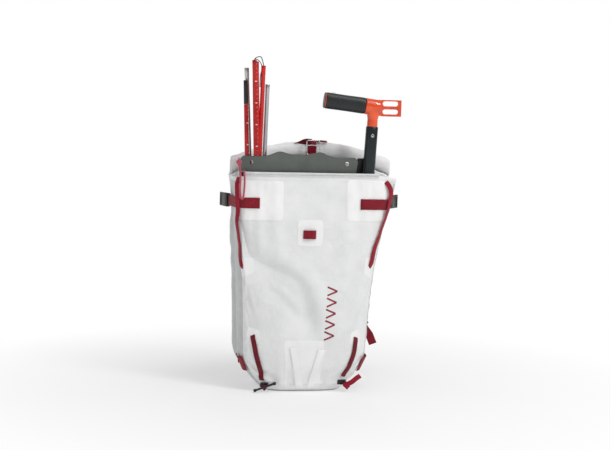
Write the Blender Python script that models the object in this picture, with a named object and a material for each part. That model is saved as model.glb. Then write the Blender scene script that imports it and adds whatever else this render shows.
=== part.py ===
"""Ski touring backpack with an avalanche-tool pocket on its front, holding a shovel and a folded probe.

Metres, +Z up. The pack stands on its base at Z = 0. Its front faces -Y, and the wearer's back is at +Y.
Fabric and webbing are plain solids of the right size and place. Buckles, tools and frame parts are exact.
"""

import math

import bmesh
import bpy
from mathutils import Matrix, Vector

# ---- bag ----
HALF_WIDTH = 0.153  # of the body, low down
LEFT_FLARE = 0.027  # where the mouth is pressed flat for rolling
RIGHT_FLARE = 0.066  # the rolled mouth sits off to the right
RIM_HEIGHT = 0.548  # of the main bag's mouth, at its middle
RIM_DROOP = 0.042  # of the rolled mouth, from its middle to its ends
BASE_TUCK = 0.060  # how far each side draws in at the base
BASE_RISE = 0.105  # height at which the draw-in ends
BACK_Y = 0.085  # outer face of the back wall
MAIN_DEPTH = 0.130  # of the main bag
RIM_HALF_DEPTH = 0.022  # of the flattened mouth
FLATTEN_FROM = 0.108  # below the rim, where the bag starts to flatten
TOOL_ROOM = 0.0171  # left in the pocket in front of the tools
TOOL_CLEAR = 0.0040  # between the main bag's front wall and the probe
SEAM_BEHIND = 0.040  # the pocket's side seams, behind the main bag's front wall
FRONT_TUCK = 0.034  # how far the pocket's front draws in at the base
BACK_TUCK = 0.012
FABRIC = 0.002
GAP = 0.0005  # between pieces that touch
SECTION_POWER = 3.5  # squareness of the pocket's plan
MOUTH_POWER = 7.5  # the zip pulls the lip straight
MAIN_POWER = 5.0  # squareness of the main bag's plan
BASE_THICK = 0.0026
MOUTH_BELOW_RIM = 0.029  # the tool pocket's mouth
MOUTH_DROOP = 0.012

# ---- webbing and buckles ----
WIDE_WEB = 0.025
MID_WEB = 0.020
TAPE = 0.011
AXE_WEB = 0.012
WEB_THICK = 0.0016
STRAP_LIFT = 0.0014  # of a strap's underside over the fabric
COMPRESSION_BELOW_MOUTH = 0.071
COMPRESSION_FRONT_X = 0.119  # inner end of the front compression straps
BUCKLE_WIDTH = 0.032
BUCKLE_THICK = 0.0095
BUCKLE_HALF = 0.014  # half the length of a buckle's female half
BUCKLE_WALL = 0.0019
BUCKLE_PLAY = 0.0004

# ---- shovel ----
BLADE_HEIGHT = 0.300
BLADE_SHOW = 0.037  # of the blade's shoulders over the pocket's mouth
BLADE_THICK = 0.0018
BLADE_DISH = 0.0065  # how far its side edges stand back from its middle
BLADE_HUMP = 0.011
BLADE_HOLE = 0.0052
BLADE_SIDE_ROOM = 0.0125
SHAFT_INSET = 0.0693
SHAFT_RX = 0.0142
SHAFT_RY = 0.0130
SHAFT_WALL = 0.0016
SHAFT_LENGTH = 0.375
SHAFT_SHOW = 0.110  # of the shaft over the pocket's mouth
SHAFT_LEAN = math.radians(2.6)
SHAFT_ROOM = 0.0147  # between blade and shaft
BUTTON_RADIUS = 0.0042
GRIP_LENGTH = 0.094
GRIP_R = 0.0192
GRIP_DEPTH = 0.0145
GRIP_TILT = math.radians(6.5)
GRIP_START = 0.0205  # from the shaft's middle line
FORK_LENGTH = 0.053
FORK_HEIGHT = 0.039
FORK_THICK = 0.0075
FORK_SLOT_START = 0.0215
FORK_SLOT_LENGTH = 0.0380
FORK_SLOT_R = 0.0056
FORK_SLOTS = (0.0085, -0.0105)  # heights of the two slots' middles

# ---- probe ----
TUBE_R = 0.0052
TUBE_LENGTH = 0.400
TUBE_PITCH = 2 * TUBE_R + 0.0006  # between layers
TUBE_WALL = 0.0012
CABLE_R = 0.0010
PROBE_INSET = 0.0510  # of the bundle's middle, from the pocket's side

# ---- carrying system ----
PAD_THICK = 0.014
PAD_HALF_WIDTH = 0.706 * HALF_WIDTH
PAD_LOW = 0.070
PAD_TOP = 0.8212 * RIM_HEIGHT
SHOULDER_WIDTH = 0.060
SHOULDER_THICK = 0.012
FIN_THICK = 0.010
BELT_HEIGHT = 0.112
BELT_REACH = 0.150  # of the closed hip belt, behind the back panel

MAIN_FRONT_Y = BACK_Y - MAIN_DEPTH
PROBE_STACK = TOOL_CLEAR + 2 * TUBE_R + 2 * TUBE_PITCH + 0.0012
FRONT_Y = MAIN_FRONT_Y - PROBE_STACK - BLADE_THICK - BLADE_DISH - TOOL_ROOM
SEAM_Y = MAIN_FRONT_Y + SEAM_BEHIND
MOUTH = RIM_HEIGHT - MOUTH_BELOW_RIM
MAIN_INSET = FABRIC + 0.0016
POCKET_FLOOR = BASE_THICK + GAP
MAIN_FLOOR = POCKET_FLOOR + FABRIC + GAP
SIDES = (("left", -1.0), ("right", 1.0))


def ease(t):
    t = min(max(t, 0.0), 1.0)
    return t * t * (3 - 2 * t)


def signed_power(value, power):
    return math.copysign(abs(value) ** power, value)


# ---- the bag's outer surface ----


def tuck(z):
    return max(0.0, 1 - z / BASE_RISE) ** 2


def half_width(z, side=1.0):
    flare = RIGHT_FLARE if side > 0 else LEFT_FLARE
    return HALF_WIDTH + flare * (z / RIM_HEIGHT) ** 2 - BASE_TUCK * tuck(z)


def middle_x(z):
    return (half_width(z, 1.0) - half_width(z, -1.0)) / 2


def mean_width(z):
    return (half_width(z, 1.0) + half_width(z, -1.0)) / 2


def section_power(z):
    return SECTION_POWER + (MOUTH_POWER - SECTION_POWER) * ease((z - MOUTH) / 0.24 + 1)


def front_depth(z):
    """From the side seams forward to the middle of the pocket's front."""
    return SEAM_Y - FRONT_Y - FRONT_TUCK * tuck(z)


def skin(q, z, lift=0.0):
    """A point over the pack's outside. q is 0 at the front's middle, 1 at a side seam, then metres behind."""
    point = bare_skin(q, z)
    if not lift:
        return point
    return point + skin_normal(q, z) * lift


def bare_skin(q, z):
    side, around = math.copysign(1.0, q), abs(q)
    if around > 1:
        return Vector((side * half_width(z, side), SEAM_Y + around - 1, z))
    angle, power = around * math.pi / 2, 2 / section_power(z)
    x = side * half_width(z, side) * math.sin(angle) ** power
    return Vector((x, SEAM_Y - front_depth(z) * math.cos(angle) ** power, z))


def skin_normal(q, z):
    step = 0.004
    low, high = (q - step, q + step) if abs(q) > step else (-step, step)
    along = bare_skin(high, z) - bare_skin(low, z)
    up = bare_skin(q, z + step) - bare_skin(q, max(z - step, 0.0))
    return along.cross(up).normalized()


def q_at(x, z):
    """The skin coordinate of a point on the pocket's front."""
    share = min(abs(x) / half_width(z, x), 1.0)
    return math.copysign(math.asin(share ** (section_power(z) / 2)) / (math.pi / 2), x)


def main_half_depth(z):
    flat = ease((z - RIM_HEIGHT + FLATTEN_FROM) / FLATTEN_FROM)
    return MAIN_DEPTH / 2 + (RIM_HALF_DEPTH - MAIN_DEPTH / 2) * flat


MAIN_MID_Y = BACK_Y - MAIN_DEPTH / 2

# ---- materials ----

FINISHES = {
    "white_fabric": ((0.86, 0.87, 0.88), 0.75, 0.0),
    "grey_fabric": ((0.45, 0.46, 0.47), 0.85, 0.0),
    "black_mesh": ((0.03, 0.03, 0.03), 0.9, 0.0),
    "red_webbing": ((0.36, 0.02, 0.05), 0.8, 0.0),
    "black_plastic": ((0.02, 0.02, 0.02), 0.45, 0.0),
    "orange_plastic": ((0.85, 0.16, 0.02), 0.35, 0.0),
    "black_rubber": ((0.03, 0.03, 0.035), 0.7, 0.0),
    "grey_alloy": ((0.38, 0.40, 0.38), 0.4, 0.9),
    "dark_alloy": ((0.08, 0.09, 0.09), 0.35, 0.8),
    "silver_alloy": ((0.75, 0.75, 0.75), 0.3, 1.0),
    "red_alloy": ((0.60, 0.03, 0.03), 0.3, 0.7),
    "black_alloy": ((0.03, 0.03, 0.03), 0.35, 0.6),
    "steel": ((0.6, 0.6, 0.6), 0.25, 1.0),
    "stiff_sheet": ((0.12, 0.12, 0.13), 0.6, 0.0),
    "coil_zip": ((0.55, 0.56, 0.57), 0.6, 0.0),
    "red_cord": ((0.70, 0.08, 0.16), 0.8, 0.0),
}


def make_materials():
    made = {}
    for name, (colour, roughness, metallic) in FINISHES.items():
        material = bpy.data.materials.new(name)
        material.use_nodes = True
        shader = material.node_tree.nodes["Principled BSDF"]
        shader.inputs["Base Color"].default_value = (*colour, 1.0)
        shader.inputs["Roughness"].default_value = roughness
        shader.inputs["Metallic"].default_value = metallic
        made[name] = material
    return made


# ---- building solids ----


def finish(name, mesh, finish_name, place=None):
    shape = bmesh.new()
    shape.from_mesh(mesh)
    bmesh.ops.remove_doubles(shape, verts=shape.verts, dist=1e-6)
    bmesh.ops.recalc_face_normals(shape, faces=shape.faces)
    shape.to_mesh(mesh)
    shape.free()
    mesh.shade_smooth()
    mesh.set_sharp_from_angle(angle=math.radians(35))
    made = bpy.data.objects.new(name, mesh)
    bpy.context.scene.collection.objects.link(made)
    if finish_name:
        made.data.materials.append(MATERIALS[finish_name])
    if place:
        made.matrix_world = place
    return made


def solid(name, points, faces, finish_name, place=None):
    mesh = bpy.data.meshes.new(name)
    mesh.from_pydata([tuple(p) for p in points], [], faces)
    return finish(name, mesh, finish_name, place)


def loft(name, rings, finish_name, place=None, closed=False):
    """A solid through rings of points, capped at both ends unless it closes on itself."""
    count = len(rings[0])
    points = [p for ring in rings for p in ring]
    faces = []
    for k in range(len(rings) if closed else len(rings) - 1):
        first, second = k * count, (k + 1) % len(rings) * count
        for i in range(count):
            j = (i + 1) % count
            faces.append((first + i, first + j, second + j, second + i))
    if not closed:
        faces.append(tuple(range(count))[::-1])
        faces.append(tuple(range((len(rings) - 1) * count, len(rings) * count)))
    return solid(name, points, faces, finish_name, place)


def tube_loft(name, outer, inner, finish_name, place=None):
    """A pipe through matching outer and inner rings, open at both ends."""
    count = len(outer[0])
    rows = outer + inner[::-1]
    points = [p for ring in rows for p in ring]
    faces = []
    for k in range(len(rows)):
        first, second = k * count, (k + 1) % len(rows) * count
        for i in range(count):
            j = (i + 1) % count
            faces.append((first + i, first + j, second + j, second + i))
    return solid(name, points, faces, finish_name, place)


def sheet(name, rows, cap_row, thickness, finish_name):
    """A cloth wall: rows of points joined by quads, its last row closed by one face, thickened inwards."""
    count = len(rows[0])
    closed = cap_row == "loop"
    points = [p for row in rows for p in row]
    faces = []
    for k in range(len(rows) - 1):
        for i in range(count if closed else count - 1):
            j = (i + 1) % count
            faces.append((k * count + i, k * count + j, (k + 1) * count + j, (k + 1) * count + i))
    faces.append(tuple((len(rows) - 1) * count + i for i in range(count)))
    made = solid(name, points, faces, finish_name)
    face_out(made)
    wall = made.modifiers.new("wall", "SOLIDIFY")
    wall.thickness = thickness
    wall.offset = -1.0
    wall.use_even_offset = True
    return made


def face_out(made):
    """Turns an open sheet's faces away from the pack's middle."""
    shape = bmesh.new()
    shape.from_mesh(made.data)
    middle = Vector((0, MAIN_MID_Y, RIM_HEIGHT / 2))
    outward = sum((f.calc_center_median() - middle).dot(f.normal) * f.calc_area() for f in shape.faces)
    if outward < 0:
        bmesh.ops.reverse_faces(shape, faces=shape.faces)
    shape.to_mesh(made.data)
    shape.free()


def box(name, size, middle, finish_name, place=None, bevel=0.0):
    shape = bmesh.new()
    bmesh.ops.create_cube(shape, size=1.0)
    bmesh.ops.scale(shape, vec=size, verts=shape.verts)
    bmesh.ops.translate(shape, vec=middle, verts=shape.verts)
    if bevel:
        bmesh.ops.bevel(shape, geom=shape.edges, offset=bevel, segments=1, affect="EDGES")
    mesh = bpy.data.meshes.new(name)
    shape.to_mesh(mesh)
    shape.free()
    return finish(name, mesh, finish_name, place)


def slab(name, outline, low, high, finish_name, place=None):
    """A flat plate: an outline in the local X-Y plane, between two heights."""
    rings = [[Vector((x, y, h)) for x, y in outline] for h in (low, high)]
    return loft(name, rings, finish_name, place)


def helper(made):
    made.hide_render = True
    made.display_type = "WIRE"
    return made


def cut(target, cutter, operation="DIFFERENCE"):
    step = target.modifiers.new(cutter.name, "BOOLEAN")
    step.operation = operation
    step.object = helper(cutter)
    return target


def frame_at(origin, along, normal):
    """Local X runs along, local Z is the outward normal made square to it."""
    along = Vector(along).normalized()
    across = Vector(normal).cross(along).normalized()
    out = along.cross(across)
    place = Matrix((along, across, out)).transposed().to_4x4()
    place.translation = Vector(origin)
    return place


def smooth_path(points, count):
    """Points evenly spread in parameter along a Catmull-Rom curve through the given ones."""
    points = [Vector(p) for p in points]
    ends = [2 * points[0] - points[1], *points, 2 * points[-1] - points[-2]]
    found = []
    for k in range(count):
        t = k / (count - 1) * (len(points) - 1)
        i = min(int(t), len(points) - 2)
        u, (a, b, c, d) = t - i, ends[i : i + 4]
        found.append(
            0.5 * (2 * b + (c - a) * u + (2 * a - 5 * b + 4 * c - d) * u**2 + (3 * b - a - 3 * c + d) * u**3)
        )
    return found


def tangents(points):
    last = len(points) - 1
    return [(points[min(k + 1, last)] - points[max(k - 1, 0)]).normalized() for k in range(len(points))]


def ribbon(name, points, normals, width, thickness, finish_name, widths=None):
    """A strap of even thickness whose middle line is points and whose faces look along normals."""
    rings = []
    for k, (point, along) in enumerate(zip(points, tangents(points))):
        across = Vector(normals[k]).cross(along).normalized()
        out = along.cross(across)
        side = across * (widths[k] if widths else width) / 2
        rise = out * thickness / 2
        rings.append([point - side - rise, point + side - rise, point + side + rise, point - side + rise])
    return loft(name, rings, finish_name)


def skin_strip(name, route, width, lift, thickness, finish_name, count=16):
    """A strap that lies on the pack. route holds (q, z) pairs, and lift is its height over the fabric."""
    flat = smooth_path([(q, z, 0.0) for q, z in route], count)
    normals = [skin_normal(p.x, p.y) for p in flat]
    points = [bare_skin(p.x, p.y) + n * (lift + thickness / 2) for p, n in zip(flat, normals)]
    return ribbon(name, points, normals, width, thickness, finish_name)


def round_ring(middle, u, v, ru, rv, count, power=2.0):
    ring = []
    for k in range(count):
        angle = 2 * math.pi * k / count
        ring.append(
            middle
            + u * ru * signed_power(math.cos(angle), 2 / power)
            + v * rv * signed_power(math.sin(angle), 2 / power)
        )
    return ring


def rod(name, start, end, radius, finish_name, sides=10):
    start, end = Vector(start), Vector(end)
    along = (end - start).normalized()
    u = along.orthogonal().normalized()
    v = along.cross(u)
    rings = [round_ring(p, u, v, radius, radius, sides) for p in (start, end)]
    return loft(name, rings, finish_name)


def wire(name, points, radius, finish_name, sides=8, closed=False):
    """A round bar bent in one plane, or along a smooth line."""
    last = len(points)
    rings = []
    normal = None
    for k, point in enumerate(points):
        if closed:
            along = (points[(k + 1) % last] - points[k - 1]).normalized()
        else:
            along = tangents(points)[k]
        if normal is None:
            normal = along.orthogonal().normalized()
        normal = (normal - along * normal.dot(along)).normalized()
        rings.append(round_ring(point, normal, along.cross(normal), radius, radius, sides))
    return loft(name, rings, finish_name, closed=closed)


# ---- bag ----

MAIN_LEVELS = 14
MAIN_AROUND = 36
POCKET_LEVELS = 13
POCKET_AROUND = 23


def level(k, count, low, high):
    """Heights that crowd together at both ends."""
    return low + (high - low) * (1 - math.cos(math.pi * k / count)) / 2


def rim_drop(x, z):
    """How far the flattened mouth's ends hang below its middle."""
    share = ease((z - RIM_HEIGHT + 1.3 * FLATTEN_FROM) / (1.3 * FLATTEN_FROM))
    return RIM_DROOP * share * ((x - middle_x(z)) / mean_width(z)) ** 2


def main_ring(z):
    deep = main_half_depth(z) - BACK_TUCK * tuck(z) / 2
    middle = MAIN_MID_Y - BACK_TUCK * tuck(z) / 2
    flat = ease((z - RIM_HEIGHT + FLATTEN_FROM) / FLATTEN_FROM)
    power = MAIN_POWER + (2.6 - MAIN_POWER) * flat
    across, along = Vector((1, 0, 0)), Vector((0, 1, 0))
    ring = round_ring(Vector((0, middle, z)), across, along, 1.0, deep, MAIN_AROUND, power)
    for p in ring:
        p.x *= half_width(z, p.x) - MAIN_INSET
        p.z -= rim_drop(p.x, z)
    return ring


def make_bag():
    rows = [main_ring(level(k, MAIN_LEVELS, MAIN_FLOOR, RIM_HEIGHT)) for k in range(MAIN_LEVELS, -1, -1)]
    sheet("main_bag", rows, "loop", FABRIC, "white_fabric")
    rows = []
    for k in range(POCKET_LEVELS, -1, -1):
        z = level(k, POCKET_LEVELS, POCKET_FLOOR, MOUTH)
        row = []
        for i in range(POCKET_AROUND):
            p = bare_skin(2 * i / (POCKET_AROUND - 1) - 1, z)
            p.z -= MOUTH_DROOP * ease(z / MOUTH * 5 - 4) * (abs(p.x) / half_width(z, p.x)) ** 5
            row.append(p)
        rows.append(row)
    sheet("front_pocket", rows, "open", FABRIC, "white_fabric")
    outline = [
        (p.x, p.y)
        for p in round_ring(
            Vector((0, (BASE_BACK + BASE_FRONT) / 2, 0)),
            Vector((1, 0, 0)),
            Vector((0, 1, 0)),
            half_width(0) - GAP,
            (BASE_BACK - BASE_FRONT) / 2,
            28,
            4.0,
        )
    ]
    slab("base_panel", outline, 0.0, BASE_THICK, "grey_fabric")


BASE_FRONT = FRONT_Y + FRONT_TUCK + 0.004
BASE_BACK = BACK_Y - BACK_TUCK - 0.002

# ---- rolled closure ----

ROLL_RY = 0.0185
ROLL_RZ = 0.0205
ROLL_STATIONS = 15
SLOT_RY = 0.0030
SLOT_RZ = 0.0125
STRIP_THICK = 0.0016
STRIP_HEIGHT = 0.018
ROLL_LIFT = 0.0009


ROLL_X = middle_x(RIM_HEIGHT)  # the middle of the roll, and of its strap


def roll_middle(x):
    drop = RIM_DROOP * ((x - ROLL_X) / mean_width(RIM_HEIGHT)) ** 2
    return Vector((x, MAIN_MID_Y, RIM_HEIGHT + ROLL_LIFT + ROLL_RZ - drop))


def make_closure():
    reach = mean_width(RIM_HEIGHT) - 0.004
    outer, inner, strip = [], [], []
    y, z = Vector((0, 1, 0)), Vector((0, 0, 1))
    for k in range(ROLL_STATIONS):
        x = reach * (2 * k / (ROLL_STATIONS - 1) - 1)
        middle = roll_middle(ROLL_X + x)
        plump = 1 - 0.16 * (abs(x) / reach) ** 6
        outer.append(round_ring(middle, y, z, ROLL_RY * plump, ROLL_RZ, 16, 2.6))
        inner.append(round_ring(middle, y, z, SLOT_RY, SLOT_RZ, 16, 2.6))
        strip.append((middle, x))
    tube_loft("roll_top", outer, inner, "white_fabric")
    points = [p for p, x in strip if abs(x) < reach * 0.97]
    ribbon("roll_stiffener", points, [(0, 1, 0)] * len(points), STRIP_HEIGHT, STRIP_THICK, "stiff_sheet")
    make_roll_strap()
    make_wire_buckle()


BAR_Y = MAIN_MID_Y - RIM_HALF_DEPTH - 0.0135  # the wire buckle's lower bar
BAR_BELOW_ROLL = 0.010
BAR_Z = RIM_HEIGHT + BAR_BELOW_ROLL
WIRE_R = 0.0014
BUCKLE_INNER = 0.029
BUCKLE_HEIGHT = 0.034
LOOP_WIDTH = 0.022


def make_roll_strap():
    """Webbing over the roll, from behind the wire buckle to the back of the roll."""
    middle = roll_middle(ROLL_X)
    ry, rz = ROLL_RY + 0.0022, ROLL_RZ + 0.0022
    points = [Vector((ROLL_X, middle.y - ry - 0.0004, middle.z - 0.012))]
    for k in range(13):
        angle = math.pi * k / 12
        out = (signed_power(math.cos(angle), 2 / 2.6), signed_power(math.sin(angle), 2 / 2.6))
        points.append(Vector((ROLL_X, middle.y - ry * out[0], middle.z + rz * out[1])))
    points.append(Vector((ROLL_X, middle.y + ry + 0.0004, middle.z - 0.014)))
    normals = [Vector((0, p.y - middle.y, max(p.z - middle.z, 0.0))) for p in points]
    ribbon("roll_strap", points, normals, MID_WEB, WEB_THICK, "red_webbing")


def make_wire_buckle():
    """A wire frame held by a webbing loop on the bag. It folds down off the strap to open the roll."""
    half, corner = BUCKLE_INNER / 2 + WIRE_R, 0.004
    centres = [(half - corner, corner), (half - corner, BUCKLE_HEIGHT - corner)]
    centres += [(-x, y) for x, y in centres[::-1]]
    outline = []
    for quarter, (x, y) in enumerate(centres):
        for k in range(4):
            angle = math.pi / 2 * (quarter - 1 + k / 3)
            outline.append((x + corner * math.cos(angle), y + corner * math.sin(angle)))
    lean = frame_at((ROLL_X, BAR_Y, BAR_Z), (1, 0, 0), (0, -1, 0))
    ring = wire("wire_buckle", [Vector((x, y, 0)) for x, y in outline], WIRE_R, "steel", 8, closed=True)
    bar_y = BUCKLE_HEIGHT * 0.66
    bar = rod("middle_bar", (-half, bar_y, 0), (half, bar_y, 0), WIRE_R * 0.93, None, 8)
    ring.matrix_world = lean
    bar.matrix_world = lean
    cut(ring, bar, "UNION")
    inner = WIRE_R + 0.0011
    leg = 0.028
    points = [Vector((ROLL_X, BAR_Y - inner - WEB_THICK / 2, BAR_Z - leg))]
    for k in range(9):
        angle = math.pi - math.pi * k / 8
        reach = inner + WEB_THICK / 2
        points.append(Vector((ROLL_X, BAR_Y + reach * math.cos(angle), BAR_Z + reach * math.sin(angle))))
    points.append(Vector((ROLL_X, BAR_Y + inner + WEB_THICK / 2, BAR_Z - leg)))
    along = tangents(points)
    normals = [Vector((1, 0, 0)).cross(t) for t in along]
    ribbon("hook_loop", points, normals, LOOP_WIDTH, WEB_THICK, "red_webbing")


# ---- tool pocket's zip and divider ----

ZIP_LIFT = 0.0022
ZIP_LEFT = 0.009  # the coil's end, inside the pocket's left side
ZIP_RIGHT = 0.052
ZIP_HEIGHT = 0.006
COIL_THICK = 0.0018
SLIDER_LENGTH = 0.012
SLIDER_HEIGHT = 0.0105
SLIDER_DEPTH = 0.0066
SLIDER_BACK = FRONT_Y - GAP  # the slider's rear face runs along the lip
TAPE_SLIT = 0.0024
CORD_R = 0.0018
CORD_HALF = 0.0042  # half the width of the pull's loop
CORD_DROP = 0.0695


def oval(half_x, low, count, straight):
    """An upright loop with its top at the origin, and its round ends joined by straight sides."""
    high = -half_x
    found = []
    for k in range(count):
        angle = math.pi * k / (count - 1)
        found.append(Vector((half_x * math.cos(angle), 0, high + half_x * math.sin(angle))))
    for k in range(straight):
        found.append(Vector((-half_x, 0, high + (low - high) * (k + 1) / (straight + 1))))
    for k in range(count):
        angle = math.pi * (1 + k / (count - 1))
        found.append(Vector((half_x * math.cos(angle), 0, low + half_x * math.sin(angle))))
    for k in range(straight):
        found.append(Vector((half_x, 0, low + (high - low) * (k + 1) / (straight + 1))))
    return found


def make_zip():
    """Coil along the pocket's lip. Its straight stretch lets the slider run from end to end."""
    track_y = FRONT_Y - ZIP_LIFT - COIL_THICK / 2
    track_z = MOUTH - 0.001 - ZIP_HEIGHT / 2
    left, right = ZIP_LEFT - half_width(MOUTH, -1.0), half_width(MOUTH) - ZIP_RIGHT
    ends = [Vector((left, track_y, track_z)), Vector((right, track_y, track_z))]
    ribbon("zip_coil", ends, [(0, -1, 0)] * 2, ZIP_HEIGHT, COIL_THICK, "coil_zip")
    x = left + SLIDER_LENGTH / 2 + 0.001
    middle = Vector((x, SLIDER_BACK - SLIDER_DEPTH / 2, track_z))
    slider_size = (SLIDER_LENGTH, SLIDER_DEPTH, SLIDER_HEIGHT)
    body = box("zip_slider", slider_size, middle, "black_plastic", bevel=0.0010)
    track = Vector((x, track_y, track_z))
    channel = (3 * SLIDER_LENGTH, COIL_THICK + 0.0008, ZIP_HEIGHT + 0.0010)
    cut(body, box("zip_channel", channel, track, None))
    cut(body, box("zip_mouth", (3 * SLIDER_LENGTH, 0.006, TAPE_SLIT), track + Vector((0, 0.003, 0)), None))
    eye = Vector((x, SLIDER_BACK - SLIDER_DEPTH - GAP - CORD_R, MOUTH + 0.0045))
    pull = wire("zip_pull", oval(CORD_HALF, -CORD_DROP, 7, 5), CORD_R, "red_cord", 8, closed=True)
    pull.location = eye


def make_divider():
    """Mesh wall that keeps probe and shaft apart from the blade, sewn to the main bag's front."""
    y = MAIN_FRONT_Y - 0.0016
    points = [Vector((0, y, z)) for z in (0.110, 0.20, 0.32, MOUTH - 0.060)]
    wide = half_width(0.2, -1.0) * 0.82
    ribbon("tool_divider", points, [(0, -1, 0)] * 4, 2 * wide, 0.0012, "black_mesh")


# ---- side-release buckles ----


def female_half(name, place):
    """Socket half: open towards local +X, with a window in each side for the prongs."""
    size = (2 * BUCKLE_HALF, BUCKLE_WIDTH, BUCKLE_THICK)
    shell = box(name, size, (0, 0, 0), "black_plastic", place, bevel=0.0012)
    deep = 2 * BUCKLE_HALF - 0.007
    room = BUCKLE_THICK - 2 * BUCKLE_WALL
    hollow = (deep + 0.02, BUCKLE_WIDTH - 2 * BUCKLE_WALL * 1.3, room)
    cut(shell, box(name + "_cavity", hollow, (BUCKLE_HALF - deep / 2 + 0.01, 0, 0), None, place))
    cut(shell, box(name + "_window", (0.011, BUCKLE_WIDTH + 0.01, room), (0.002, 0, 0), None, place))
    web_slot = (0.0028, BUCKLE_WIDTH - 0.008, 0.02)
    cut(shell, box(name + "_slot", web_slot, (0.0050 - BUCKLE_HALF, 0, 0), None, place))


def male_half(name, place):
    """Prong half: a plug between two spring prongs, and a bar for the webbing."""
    wide = BUCKLE_WIDTH / 2 - BUCKLE_WALL * 1.3 - BUCKLE_PLAY
    thick = BUCKLE_THICK / 2 - BUCKLE_WALL - BUCKLE_PLAY
    root, tip, back = BUCKLE_HALF + BUCKLE_PLAY, -BUCKLE_HALF + 0.0078, BUCKLE_HALF + 0.020
    half = [
        (back, BUCKLE_WIDTH / 2),
        (root, BUCKLE_WIDTH / 2),
        (root, wide),
        (tip + 0.006, wide),
        (tip + 0.001, wide - 0.003),
        (tip + 0.001, wide - 0.005),
        (root - 0.002, wide - 0.004),
        (root - 0.002, 0.003),
        (tip + 0.002, 0.003),
    ]
    prongs = slab(name, half + [(x, -y) for x, y in half[::-1]], -thick, thick, "black_plastic", place)
    across = BUCKLE_WIDTH - 0.008
    cut(prongs, box(name + "_bar", (0.0048, across, 0.03), (back - 0.0066, 0, 0), None, place))
    cut(prongs, box(name + "_gap", (0.0030, across, 0.03), (root + 0.0045, 0, 0), None, place))


# ---- straps on the front and sides ----

COMPRESSION_Z = MOUTH - COMPRESSION_BELOW_MOUTH
# The side buckles stand away from the fabric, the right one further.
SWING_LEFT = math.radians(16)
SWING_RIGHT = math.radians(38)


def side_buckle_frame(side):
    swing = SWING_LEFT if side < 0 else SWING_RIGHT
    along = Vector((side * math.sin(swing), math.cos(swing), 0))
    normal = Vector((side * math.cos(swing), -math.sin(swing), 0))
    start = Vector((side * (half_width(COMPRESSION_Z, side) + 0.0100), SEAM_Y - 0.010, COMPRESSION_Z))
    return frame_at(start + along * BUCKLE_HALF, along, normal)


def make_compression(name, side):
    z = COMPRESSION_Z
    start = q_at(side * COMPRESSION_FRONT_X, z)
    place = side_buckle_frame(side)
    route = [(start, z), (side * 0.78, z), (side * 0.90, z)]
    flat = smooth_path([(q, zz, 0.0) for q, zz in route], 12)
    lift = STRAP_LIFT + WEB_THICK / 2
    points = [bare_skin(p.x, p.y) + skin_normal(p.x, p.y) * lift for p in flat]
    normals = [skin_normal(p.x, p.y) for p in flat]
    nose = place @ Vector((-BUCKLE_HALF - GAP, 0, 0))
    points += [points[-1].lerp(nose, t) for t in (0.55, 1.0)]
    normals += [place.to_3x3() @ Vector((0, 0, 1))] * 2
    ribbon("compression_strap_" + name, points, normals, WIDE_WEB, WEB_THICK, "red_webbing")
    female_half("compression_socket_" + name, place)
    male_half("compression_prong_" + name, place)
    under = -BUCKLE_THICK / 2 - 0.0012 - WEB_THICK / 2
    half_way_back = (place.translation.y + BACK_Y) / 2
    back = Vector((side * (half_width(z, side) - MAIN_INSET - 0.013), BACK_Y + 0.0015, z - 0.004))
    points = smooth_path(
        [
            place @ Vector((BUCKLE_HALF + 0.004, 0, under)),
            place @ Vector((BUCKLE_HALF + 0.020, 0, under)),
            place @ Vector((BUCKLE_HALF + 0.036, 0, under - 0.001)),
            Vector((side * (half_width(z, side) + 0.014), half_way_back + 0.030, z - 0.002)),
            Vector((side * (half_width(z, side) - MAIN_INSET + 0.001), BACK_Y + 0.003, z - 0.004)),
            back,
        ],
        16,
    )
    normals = [Vector((side, 0.25 * max(0, k - 11) ** 2, 0)) for k in range(16)]
    ribbon("compression_anchor_" + name, points, normals, WIDE_WEB, WEB_THICK, "red_webbing")


LASH_LIFT = 0.0062  # over the compression strap it crosses
# Each tape's middle line: how far it lies under the mouth, and inside the pocket's side.
LASH_LEFT = (
    (0.012, 0.009),
    (0.053, 0.008),
    (0.089, 0.008),
    (0.120, 0.008),
    (0.161, 0.011),
    (0.197, 0.010),
    (0.226, 0.014),
)
LASH_RIGHT = (
    (0.017, 0.030),
    (0.041, 0.015),
    (0.065, 0.014),
    (0.101, 0.015),
    (0.137, 0.018),
    (0.173, 0.024),
    (0.226, 0.024),
)
# Each axe strap's middle line: its height, and how far it lies inside the pocket's side.
AXE_LEFT = ((0.137, 0.026), (0.100, 0.033), (0.060, 0.0335), (0.030, 0.024))
AXE_RIGHT = ((0.132, 0.034), (0.100, 0.036), (0.070, 0.038), (0.036, 0.034))


def lash_route(side):
    line = [(MOUTH - drop, inset) for drop, inset in (LASH_LEFT if side < 0 else LASH_RIGHT)]
    return [(q_at(side * (half_width(z, side) - inset), z), z) for z, inset in line]


def axe_route(side):
    line = AXE_LEFT if side < 0 else AXE_RIGHT
    return [(q_at(side * (half_width(z, side) - inset), z), z) for z, inset in line]


AXE_SLIDER = (0.020, 0.015, 0.0042)
AXE_SLOT = (0.0136, 0.0030, 0.02)
AXE_SLOT_OFF = 0.0031  # of each slot's middle, from the slider's
AXE_SLIDER_DROP = 0.0095  # under the strap's lower end
TOGGLE_R = 0.0034
TOGGLE_HALF = 0.028
TOGGLE_TILT = math.radians(-19)
# Half of the toggle's outline: place along it, and radius, as shares.
TOGGLE_SHAPE = ((-1, 0.8), (-0.94, 1.15), (-0.80, 1.15), (-0.74, 0.8))


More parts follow.
